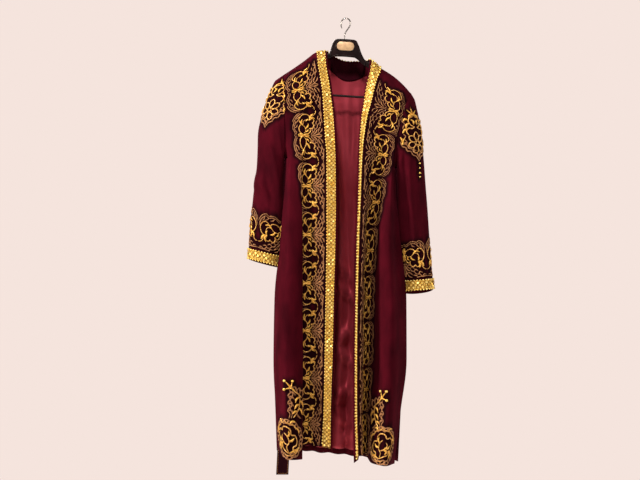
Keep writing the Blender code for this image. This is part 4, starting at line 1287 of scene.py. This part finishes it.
class ROBE_OT_hanger(bpy.types.Operator):
    """Moulded hanger with its rim and bare badge, wire hook and trouser bar"""

    bl_idname = "robe.hanger"
    bl_label = "Hanger"

    def execute(self, context):
        sections = hanger_profile()
        self.moulding(sections)
        self.rim(sections)
        self.badge()
        self.wire("hook_wire", "hanger_hook", HOOK_ROUTE, HOOK_WIRE, "nickel_plated_wire",
                  "steel_wire")
        self.wire("trouser_bar_rod", "hanger_bar", self.bar_route(sections), BAR["radius"],
                  "moulded_polystyrene", "black_plastic")
        return {"FINISHED"}

    def moulding(self, sections):
        """The plate and its arms, as rounded rings closed at both ends."""
        keys = (*HANGER, "bottom")
        columns = [[section[key] for section in sections] for key in keys]
        xs = columns[0]
        places = []
        for a, b in zip(xs, xs[1:]):
            count = max(1, round((b - a) / RING_STEP))
            places += [mix(a, b, step / count) for step in range(count)]
        rows = []
        for x in places + [xs[-1]]:
            values = [x] + [monotone(xs, column, x) for column in columns[1:]]
            rows.append(rounded_ring(dict(zip(keys, values))))
        body = grid_surface(rows)
        bmesh.ops.holes_fill(body, edges=[e for e in body.edges if e.is_boundary], sides=0)
        bmesh.ops.recalc_face_normals(body, faces=body.faces)
        piece = add_piece("hanger_moulding", body, "moulded_polystyrene")
        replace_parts(piece, "hanger_body")

    def rim(self, sections):
        """A raised bead round the plate's front."""
        low, high = RIM["reach"]
        plate = [row for row in sections if low < row["x"] < high]
        line = [(row["x"] * RIM["share"], row["top"] - RIM["below_top"]) for row in plate]
        line += [(row["x"] * RIM["share"], row["bottom"] + RIM["above_bottom"])
                 for row in plate[::-1]]
        strokes = [("cord", RIM["width"], smooth_line(line + line[:1], RIM["step"]))]
        half = min(row["half"] for row in plate)
        made = upright(strokes, -RELIEF, Matrix.Translation((0, -half, 0)))
        add_piece("hanger_rim", made, "moulded_polystyrene")

    def badge(self):
        """A bare plate with rounded ends, in a raised frame."""
        x, z = BADGE["centre"]
        half_width, half_height = BADGE["width"] / 2, BADGE["height"] / 2
        turn = Matrix.Rotation(HANGER_TILT, 4, "Y")
        plate = bmesh.new()
        bmesh.ops.create_cube(plate, size=1)
        size = (BADGE["width"], BADGE["thickness"], BADGE["height"], 1)
        plate.transform(Matrix.Diagonal(size))
        corners = [e for e in plate.edges if abs(e.verts[0].co.y - e.verts[1].co.y) > .5]
        bmesh.ops.bevel(plate, geom=corners, offset=half_height * BADGE_ENDS, segments=8,
                        profile=.5, affect="EDGES", material=-1)
        front = [e for e in plate.edges if all(v.co.y < 0 for v in e.verts)]
        bmesh.ops.bevel(plate, geom=front, offset=BADGE_EDGE, segments=2, profile=.5,
                        affect="EDGES", material=-1)
        y = PLATE_FACE - SEAM - BADGE["thickness"] / 2
        plate.transform(Matrix.Translation((x, y, z)) @ turn)
        piece = add_piece("badge_plate_bare", plate, "lacquered_tan_plate")
        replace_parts(piece, "hanger_badge")
        angles = np.linspace(0, 2 * math.pi, BADGE_FRAME["points"])
        ring = np.stack([np.cos(angles), np.sin(angles)], axis=1)
        ring = np.sign(ring) * np.abs(ring) ** BADGE_FRAME["roundness"]
        ring *= (half_width + BADGE_FRAME["beyond"], half_height + BADGE_FRAME["beyond"])
        made = upright([("ring", BADGE_FRAME["width"], ring)], -RELIEF,
                       Matrix.Translation((x, PLATE_FACE, z)) @ turn)
        add_piece("badge_frame", made, "moulded_polystyrene")

    def bar_route(self, sections):
        """The rod's line, with its ends turned up to the hanger's arms."""
        xs = [section["x"] for section in sections]
        bottoms = [section["bottom"] for section in sections]
        radius, bend = BAR["radius"], BAR["bend"]
        route = []
        for side in (-1, 1):
            x = side * BAR["reach"]
            low = BAR["z"] - x * math.tan(HANGER_TILT)
            arm = min(monotone(xs, bottoms, x + reach) for reach in (-radius, radius))
            leg = [(x, arm - 2 * SEAM)]
            leg += [(x - side * bend * (1 - math.cos(angle)), low + bend * (1 - math.sin(angle)))
                    for angle in np.linspace(0, math.pi / 2, BEND_POINTS)]
            route += leg if side < 0 else leg[::-1]
        return route

    def wire(self, name, node, route, radius, finish_name, slot):
        middle = Matrix.Translation((0, -2 * radius * TUBE_RISE, 0))
        made = upright([("wire", radius * 2, smooth_line(route, WIRE_STEP))], 1, middle)
        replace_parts(add_piece(name, made, finish_name), node)


# Each panel's cut of cloth (width, length) and its area.
PANELS = {
    "front_right": ((.31, 1.24), .29),
    "front_left": ((.31, 1.24), .28),
    "back_panel": ((.52, 1.26), .55),
    "sleeve_right": ((.60, .58), .145),
    "sleeve_left": ((.60, .60), .150),
}
# Ends of the embroidery's threads lie this far off the velvet.
THREAD_LIFT = .3
# Layers of embroidery: strokes, share of their width, further lift, finish and slot.
LAYERS = {
    "_tan_stitching": ("tan", .86, 0, "tan_silk_stitching", "tan_stitching"),
    "_gold_cord": ("cords", .74, .5, "couched_gilt_cord", "gold_cord"),
    "_gold_buds": ("buds", .84, .9, "gilt_satin_stitch", "gold_cord"),
}
# Painted shade darkens the velvet up to here from a thread, and fades over this much. Every
# fifth point of the threads is enough to find the nearest one.
SHADE_REACH = 13.0
SHADE_FADE = 7.0
SHADE_EVERY = 5


def paint_embroidery_shade(piece, with_pieces):
    """Marks the velvet near the embroidery for painted shade, darkest close to the threads."""
    stitches = [vert.co for made in with_pieces
                for vert in list(made.data.vertices)[::SHADE_EVERY]]
    tree = kdtree.KDTree(len(stitches))
    for number, place in enumerate(stitches):
        tree.insert(place, number)
    tree.balance()
    marks = piece.data.attributes.new("painted_shade", "FLOAT", "POINT")
    for vert, mark in zip(piece.data.vertices, marks.data):
        distance = tree.find(vert.co)[2] / MILLIMETRE
        mark.value = min(max((SHADE_REACH - distance) / SHADE_FADE, 0), 1)


def panel(name, with_pieces):
    """A panel or sleeve of velvet, with the embroidery that lies on it."""
    grid, outward = cloth_grid(name)
    piece = cloth(name + "_velvet", grid, "cotton_velvet", mm(sizes().velvet_wall),
                  turned=outward < 0)
    # Painted shade on the velvet beside the embroidery.
    paint_embroidery_shade(piece, with_pieces)
    flat, area = PANELS[name]
    declare(piece, name, flat=flat, area=area, with_pieces=with_pieces)


def stitched(name, surface, gold, tan, beads=()):
    """Gold cord and buds, tan stitching and beads on one chart, as separate pieces."""
    threads = {"tan": tan, "cords": [stroke for stroke in gold if stroke[0] == "cord"],
               "buds": [stroke for stroke in gold if stroke[0] != "cord"]}
    pieces = []
    for ending, (key, share, lift, finish_name, slot) in LAYERS.items():
        strokes = [(kind, width * share, line) for kind, width, line in threads[key]]
        pieces.append(embroider(name + ending, strokes, surface, finish_name,
                                THREAD_LIFT + lift))
    if beads:
        pieces.append(beading(name + "_beads", beads, surface))
    return pieces


def corner(name, surface):
    """Finial, flare and medallion at a panel's lower corner."""
    finial, middle = [(across, surface.length - up) for across, up in CORNERS[name]]
    ring, lobes = medallion()
    gold = lay(GOLD_FLARE, finial) + lay(ring, middle)
    tan = lay(TAN_FLARE, finial) + lay(lobes, middle)
    beads = [(finial[0] + a, finial[1] + b, mm(sizes().bead)) for a, b in FINIAL_BEADS]
    return gold, tan, beads


class ROBE_OT_fronts(bpy.types.Operator):
    """Both front panels, with their bands of couched cord and their medallions"""

    bl_idname = "robe.fronts"
    bl_label = "Fronts"

    def execute(self, context):
        for name in FRONTS:
            grid, outward = cloth_grid(name)
            surface = Chart(grid, station_column("brow"), -1, outward)
            gold, tan, beads = corner(name, surface)
            gold_weight, tan_weight = BAND_WEIGHT[name]
            gold += band(GOLD_HALF, surface, BANDS[name], gold_weight)
            tan += band(TAN_HALF, surface, BANDS[name], tan_weight)
            panel(name, stitched(name, surface, gold, tan, beads))
        return {"FINISHED"}


LINING_INSET = 3         # the solids' columns between the back's edge and its lining
LINING_FINER = 2         # rows and columns of the lining for each of the back's
LINING_SHORT = 2         # its rows above the velvet's hem, about 17 mm
# The facing spans stations of the back, and rows of it; its middle sags by a few more.
FACING = {"stations": (4, 6), "top": 4, "drop": 12.5, "sag": 3, "steps": 17}


class ROBE_OT_back(bpy.types.Operator):
    """Back panel, its satin lining and the velvet facing at the neck"""

    bl_idname = "robe.back"
    bl_label = "Back, lining and facing"

    def execute(self, context):
        grid, outward = cloth_grid("back_panel")
        pieces = []
        for side, origin, way in (("left", -1, -1), ("right", 0, 1)):
            surface = Chart(grid, origin, way, outward)
            pieces += stitched("back_" + side, surface, *corner("back_panel", surface))
        panel("back_panel", pieces)
        trim = mm(sizes().trim_wall)
        edge = 1 + LINING_INSET * FINER_COLUMNS
        lining = grid[FINER_ROWS * LEVELS.index("shoulder"):, edge:-edge]
        lining = finer(finer(lining, LINING_FINER, 0), LINING_FINER, 1)
        lining = creased(lining[:-LINING_SHORT], 1, "back_lining", sizes().crease_depth)
        piece = cloth("back_lining_satin", lining, "polyester_satin", trim,
                      -(CLOTH + SEAM))
        declare(piece, "back_lining", "back_panel_velvet", flat=(.42, 1.16), area=.39)
        piece = cloth("neck_facing_velvet", self.facing(grid), "facing_velvet",
                      trim, -(CLOTH + TRIM + 2 * SEAM))
        declare(piece, "neck_facing", "back_lining_satin", flat=(.12, .07), area=.0066)
        return {"FINISHED"}

    def facing(self, grid):
        """The facing's rows: its lower edge sags in the middle, as a curve."""
        first, last = (back_column(station) for station in FACING["stations"])
        rows = []
        for share in np.linspace(0, 1, FACING["steps"]):
            line = []
            for column in range(first, last + 1):
                middle = math.sin(math.pi * (column - first) / (last - first))
                row = FACING["top"] + (FACING["drop"] + FACING["sag"] * middle) * share
                low = int(row)
                line.append(mix(grid[low, column], grid[low + 1, column], row - low))
            rows.append(line)
        return rows


CUFF_CLEARANCE = 3.0     # the cuff's motif stays this far above its braid
GIRTH_ROW = 10 * FINER_ROWS  # where a sleeve's girth at the cuff is measured


def cuff_rows(name):
    """First and last row of a sleeve's grid under its cuff's braid."""
    rings = len(SLEEVES[name][0]) - 1
    return [FINER_ROWS * (rings + row - 1) + 2 for row in CUFF_BRAID_ROWS]


class ROBE_OT_sleeves(bpy.types.Operator):
    """Both sleeves, with the embroidery of their caps and cuffs"""

    bl_idname = "robe.sleeves"
    bl_label = "Sleeves"

    def execute(self, context):
        for name in SLEEVES:
            panel(name, self.cap(name) + self.cuff(name))
        return {"FINISHED"}

    def cap(self, name):
        """A pendant below the shoulder, drawn on level lines round the sleeve."""
        axis, crown = CAPS[name]
        surface = level_chart(name)
        origin = (axis, surface.down_at(crown))
        gold = lay(mirrored(GOLD_PENDANT) + flower(FLOWER), origin)
        tan = lay(mirrored(TAN_PENDANT), origin)
        beads = [(origin[0] + a, origin[1] + b, radius) for a, b, radius in TASSELS[name]]
        return stitched(name + "_cap", surface, gold, tan, beads)

    def cuff(self, name):
        """Two cartouches round the sleeve, their tan border along the cuff's braid."""
        grid, outward = cloth_grid(name)
        surface = sleeve_chart(grid, outward)
        top = surface.drop[1][cuff_rows(name)[0]] - CUFF_CLEARANCE
        girth = np.linalg.norm(np.diff(grid[GIRTH_ROW], axis=0), axis=1).sum()
        share = girth / 4 / HALF_LENGTH
        gold, tan = [], []
        for knot in (-1, 1):
            origin = (CUFF_GAPS[name] + girth * knot / 4, top)
            for way in (-share, share):
                gold += lay(GOLD_HALF, origin, (0, -CUFF_BREADTH), (way, 0))
                tan += lay(TAN_HALF, origin, (0, -CUFF_BREADTH), (way, 0))
        return stitched(name + "_cuff", surface, gold, tan)


# ---------------------------------------------------------------- braid

BRAID = {"width": 28.0, "wave": 24.0, "swing": 11.0, "strand": 2.9, "end": 1.5, "step": 2.0,
         "edge": 2.4, "edge_inset": 1.6, "row": 6.5, "picot": 9.0, "picot_radius": 2.9,
         "picot_inset": .2, "picot_drop": 1.0}
PICOT_ENDS = (4, 3)      # room that the picots leave at a braid's ends
NECK_STATIONS = (2, 8)   # stations of the back that the neck's braid spans
STRANDS = 4
STRAND_LIFT = .1
SEQUIN_RISE = 2.2
SEQUIN_TILT = .5         # most that a sequin leans each way, in radians
SEQUIN_SHARES = ((.5,), (.26, .74))


class ROBE_OT_braid(bpy.types.Operator):
    """Gilt braid down the fronts, round the neck and round the cuffs"""

    bl_idname = "robe.braid"
    bl_label = "Gilt braid"

    def execute(self, context):
        brow, heel = station_column("brow"), station_column("heel")
        for name in FRONTS:
            grid, outward = cloth_grid(name)
            self.strip("braid_" + name, grid[:, brow:heel + 1], outward, 1.24, False, name)
        grid, outward = cloth_grid("back_panel")
        last = FINER_ROWS * LEVELS.index("yoke")
        right, left = (back_column(station) for station in NECK_STATIONS)
        self.strip("braid_neck", grid[:last + 1, right:left + 1], outward, .22, True)
        for name in SLEEVES:
            grid, outward = cloth_grid(name)
            first, last = cuff_rows(name)
            self.strip(name.replace("sleeve", "braid_cuff"), grid[first:last + 1], outward,
                       .30, True)
        return {"FINISHED"}

    def strip(self, name, rows, outward, length, level, rests_on="hanger_body"):
        """The braid's ground, its plaited strands, its sequins and its picots."""
        trim, width = mm(sizes().trim_wall), BRAID["width"]
        ground = cloth(name + "_ground", rows, "gilt_braid_ground", trim, SEAM,
                       outward < 0)
        if level:
            rows, outward = rows.transpose(1, 0, 2), -outward
        surface = Chart(rows, 0, 1, outward, width)
        lift = SEAM + trim + STRAND_LIFT
        t = np.arange(BRAID["end"], surface.length - BRAID["end"], BRAID["step"])
        lines = []
        for number in range(STRANDS):
            swing = np.sin(2 * math.pi * (t / BRAID["wave"] + number / STRANDS))
            lines.append((BRAID["strand"], width / 2 + BRAID["swing"] * swing))
        for s in (BRAID["edge_inset"], width - BRAID["edge_inset"]):
            lines.append((BRAID["edge"], np.full(len(t), s)))
        strokes = [("strand", thick, np.stack([s, t], axis=1)) for thick, s in lines]
        plait = embroider(name + "_plait", strokes, surface, "gilt_braid_weave",
                          lift)
        pieces = [plait, self.sequins(name, surface, lift), self.picots(name, surface, lift)]
        declare(ground, name, rests_on, flat=(width * MILLIMETRE, length), with_pieces=pieces)

    def sequins(self, name, surface, lift):
        """Sequins between the strands, in rows of one and of two."""
        rng = random.Random(name)
        made = bmesh.new()
        half = BRAID["row"] / 2
        for row, t in enumerate(np.arange(half, surface.length - half, BRAID["row"])):
            for share in SEQUIN_SHARES[row % 2]:
                tilt = Matrix.Rotation(rng.uniform(-SEQUIN_TILT, SEQUIN_TILT), 4, "X")
                turn = Matrix.Rotation(rng.uniform(-SEQUIN_TILT, SEQUIN_TILT), 4, "Y")
                place = Matrix.Translation((BRAID["width"] * share, t, SEQUIN_RISE))
                bmesh.ops.create_circle(made, cap_ends=True, segments=8,
                                        radius=mm(sizes().sequin),
                                        matrix=place @ tilt @ turn)
        return add_piece(name + "_sequins", wrap(made, surface, lift), "gilt_sequin",
                         smooth=False)

    def picots(self, name, surface, lift):
        """Small round loops along both of the braid's edges."""
        inset, (first, last) = BRAID["picot_inset"], PICOT_ENDS
        places = [(s, t, BRAID["picot_radius"]) for s in (inset, BRAID["width"] - inset)
                  for t in np.arange(first, surface.length - last, BRAID["picot"])]
        return beading(name + "_picots", places, surface,
                       lift - BRAID["picot_drop"])


# ---------------------------------------------------------------- belt

STITCH = {"width": 1.5, "inset": 3.5, "pitch": 7.5, "along": 4.0, "across": 5.0,
          "end": 8.0, "sunk": .2}
STITCH_POINTS = (0, 2.5, 5)
BELT_ROWS = (60, 17, 70)  # of its inner face, its fold and its outer face
BELT_COLUMNS = 9
LOOP_ROOM = 2.5          # between the belt's edges and the legs of its loops
BEHIND = 200.0           # y from which rays find the back's cloth


class ROBE_OT_belt(bpy.types.Operator):
    """Velvet belt folded over its loop, with stitched edges, and both thread loops"""

    bl_idname = "robe.belt"
    bl_label = "Belt and loops"

    def execute(self, context):
        inner, radius, bridge = BELT["inner_y"], BELT["fold_radius"], BELT["bridge_z"]
        middle = inner + radius
        up, over, down = BELT_ROWS
        path = [(inner, z) for z in np.linspace(BELT["inner_end"], bridge, up)[:-1]]
        path += [(middle + radius * math.cos(angle), bridge + radius * math.sin(angle))
                 for angle in np.linspace(math.pi, 0, over)]
        path += [(middle + radius, z) for z in np.linspace(bridge, BELT["outer_end"], down)[1:]]
        rows = []
        for y, z in path:
            fall = (z - bridge) / (BELT["outer_end"] - bridge)
            centre = mix(BELT["top_x"], BELT["low_x"], min(max(fall, 0), 1))
            rows.append([(centre + BELT["width"] * share, y, z)
                         for share in np.linspace(-.5, .5, BELT_COLUMNS)])
        piece = cloth("belt_velvet_painted_shade", rows, "belt_velvet_painted_shade", BELT["thickness"],
                      turned=True, centred=True)
        declare(piece, "belt", "belt_loop_right", "folded", flat=(.038, 1.48),
                with_pieces=self.stitches(np.array(rows)))
        self.loops(middle)
        return {"FINISHED"}

    def stitches(self, strip):
        """Running stitches 5 mm long, 3.5 mm in from the edges, on both faces."""
        pieces = []
        for face, outward in (("outer", -1), ("inner", 1)):
            surface = Chart(strip, 0, 1, outward, BELT["width"])
            strokes = []
            for way, breadth, run, order in (("along", BELT["width"], surface.length, 1),
                                             ("across", surface.length, BELT["width"], -1)):
                for edge in (STITCH["inset"], breadth - STITCH["inset"]):
                    for first in np.arange(STITCH[way], run - STITCH["end"], STITCH["pitch"]):
                        line = np.array([(edge, first + step) for step in STITCH_POINTS])
                        strokes.append(("stitch", STITCH["width"], line[:, ::order]))
            pieces.append(embroider("belt_stitching_" + face, strokes, surface,
                                    "tan_silk_stitching",
                                    BELT["thickness"] / 2 - STITCH["sunk"]))
        return pieces

    def loops(self, middle):
        """Both loops; the right one holds the belt's fold."""
        surface = grid_surface(cloth_grid("back_panel")[0])
        back = BVHTree.FromBMesh(surface)
        surface.free()
        reach = BELT["width"] / 2 + LOOP_ROOM
        for name, centre, stand in (("belt_loop_right", BELT["top_x"], middle),
                                    ("belt_loop_left", LOOP["left_x"], LOOP["left_y"])):
            self.loop(name, centre - reach, centre + reach, stand, back)

    def loop(self, name, low_x, high_x, stand, back):
        """A flat thread loop, whipped over with close turns of thread."""
        half, width = LOOP["thickness"] / 2, LOOP["width"]
        top = BELT["bridge_z"] - half
        feet = []
        for x in (low_x, high_x):
            touching = [back.ray_cast(Vector((x + dx, BEHIND, top - dz)), Vector((0, -1, 0)))
                        for dx in (-half, half) for dz in (0, width / 2, width)]
            feet.append(max(place.y for place, *_ in touching) + SEAM)
        bend = 2 * LOOP["thickness"]
        route = [(low_x, feet[0]), (low_x, stand - bend), (low_x + bend, stand),
                 (high_x - bend, stand), (high_x, stand - bend), (high_x, feet[1])]
        rows = [[(x, y, top - width * share) for share in (0, .5, 1)] for x, y in route]
        piece = cloth(name + "_thread", rows, "belt_velvet_painted_shade", LOOP["thickness"],
                      centred=True)
        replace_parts(piece, name)


# ---------------------------------------------------------------- stage

# Place, height that it points at, size in metres, power and colour of each light.
LIGHTS = {
    "key": ((-3.8, -1.9, .9), -.6, .8, 290, "#fff3e8"),
    "fill": ((2.9, -2.7, -.2), -.7, .8, 30, "#fff3ec"),
    "front": ((-.25, -1.2, 1.2), -.7, .3, 36, "#fff3ec"),
    "side": ((3.8, .5, .3), -.7, 1.6, 50, "#fff3ec"),
    "back": ((-1.6, 3.6, 1.7), -.7, 1.6, 110, "#fff3ec"),
}
ROOM_COLOUR = "#f5e4dd"
ROOM_LIGHT = .13         # the room looks pale, and lights the robe less than it shows
FLOOR = {"radius": 2.4, "z": -2.05}
CAMERA = {"place": (-.079, -4.0, -.674), "lens": 73.8}


class ROBE_OT_stage(bpy.types.Operator):
    """Pale floor, soft studio light and the camera"""

    bl_idname = "robe.stage"
    bl_label = "Stage, light and camera"

    def execute(self, context):
        scene = context.scene
        scene.world = self.room()
        scene.view_settings.view_transform = "Standard"
        for name, (place, height, size, power, code) in LIGHTS.items():
            light = bpy.data.lights.new(name, "AREA")
            light.shape = "DISK"
            light.size = size
            light.energy = power
            light.color = linear(code)
            lamp = link(name, light)
            lamp.location = place
            way = Vector((0, 0, height)) - Vector(place)
            lamp.rotation_euler = way.to_track_quat("-Z", "Y").to_euler()
        floor = bmesh.new()
        bmesh.ops.create_circle(floor, cap_ends=True, segments=96, radius=FLOOR["radius"],
                                matrix=Matrix.Translation((0, 0, FLOOR["z"])))
        mesh = bpy.data.meshes.new("floor")
        floor.to_mesh(mesh)
        floor.free()
        mesh.materials.append(finish("pale_floor_paint"))
        link("floor", mesh)
        camera = bpy.data.cameras.new("camera")
        camera.sensor_width = 36
        camera.lens = CAMERA["lens"]
        camera.clip_end = 50
        holder = link("camera", camera)
        holder.location = CAMERA["place"]
        holder.rotation_euler = (math.pi / 2, 0, 0)
        scene.camera = holder
        return {"FINISHED"}

    def room(self):
        world = bpy.data.worlds.new("pale_studio")
        world.use_nodes = True
        tree = world.node_tree
        background = tree.nodes["Background"]
        background.inputs["Color"].default_value = (*linear(ROOM_COLOUR), 1)
        seen = add(tree, "ShaderNodeLightPath").outputs["Is Camera Ray"]
        strength = add(tree, "ShaderNodeMapRange", _0=seen, _3=ROOM_LIGHT, _4=1.0)
        tree.links.new(strength.outputs[0], background.inputs["Strength"])
        return world


# ---------------------------------------------------------------- add-on

STEPS = (ROBE_OT_hanger, ROBE_OT_back, ROBE_OT_fronts, ROBE_OT_sleeves, ROBE_OT_braid,
         ROBE_OT_belt, ROBE_OT_stage)


class ROBE_PT_panel(bpy.types.Panel):
    """Sidebar panel that lists the robe's steps and settings"""

    bl_idname = "ROBE_PT_panel"
    bl_label = "Chapan Robe"
    bl_space_type = "VIEW_3D"
    bl_region_type = "UI"
    bl_category = "Robe"

    def draw(self, context):
        for step in STEPS:
            self.layout.operator(step.bl_idname)
        for group in (context.scene.robe_sizes, context.scene.robe_colours):
            box = self.layout.box()
            for key in group.bl_rna.properties.keys():
                if key not in ("rna_type", "name"):
                    box.prop(group, key)


CLASSES = (RobeSizes, RobeColours, *STEPS, ROBE_PT_panel)


def register():
    for item in CLASSES:
        bpy.utils.register_class(item)
    bpy.types.Scene.robe_sizes = bpy.props.PointerProperty(type=RobeSizes)
    bpy.types.Scene.robe_colours = bpy.props.PointerProperty(type=RobeColours)


def unregister():
    del bpy.types.Scene.robe_colours
    del bpy.types.Scene.robe_sizes
    for item in reversed(CLASSES):
        bpy.utils.unregister_class(item)


def main():
    register()
    for step in STEPS:
        group, name = step.bl_idname.split(".")
        getattr(getattr(bpy.ops, group), name)()


if __name__ == "__main__":
    main()
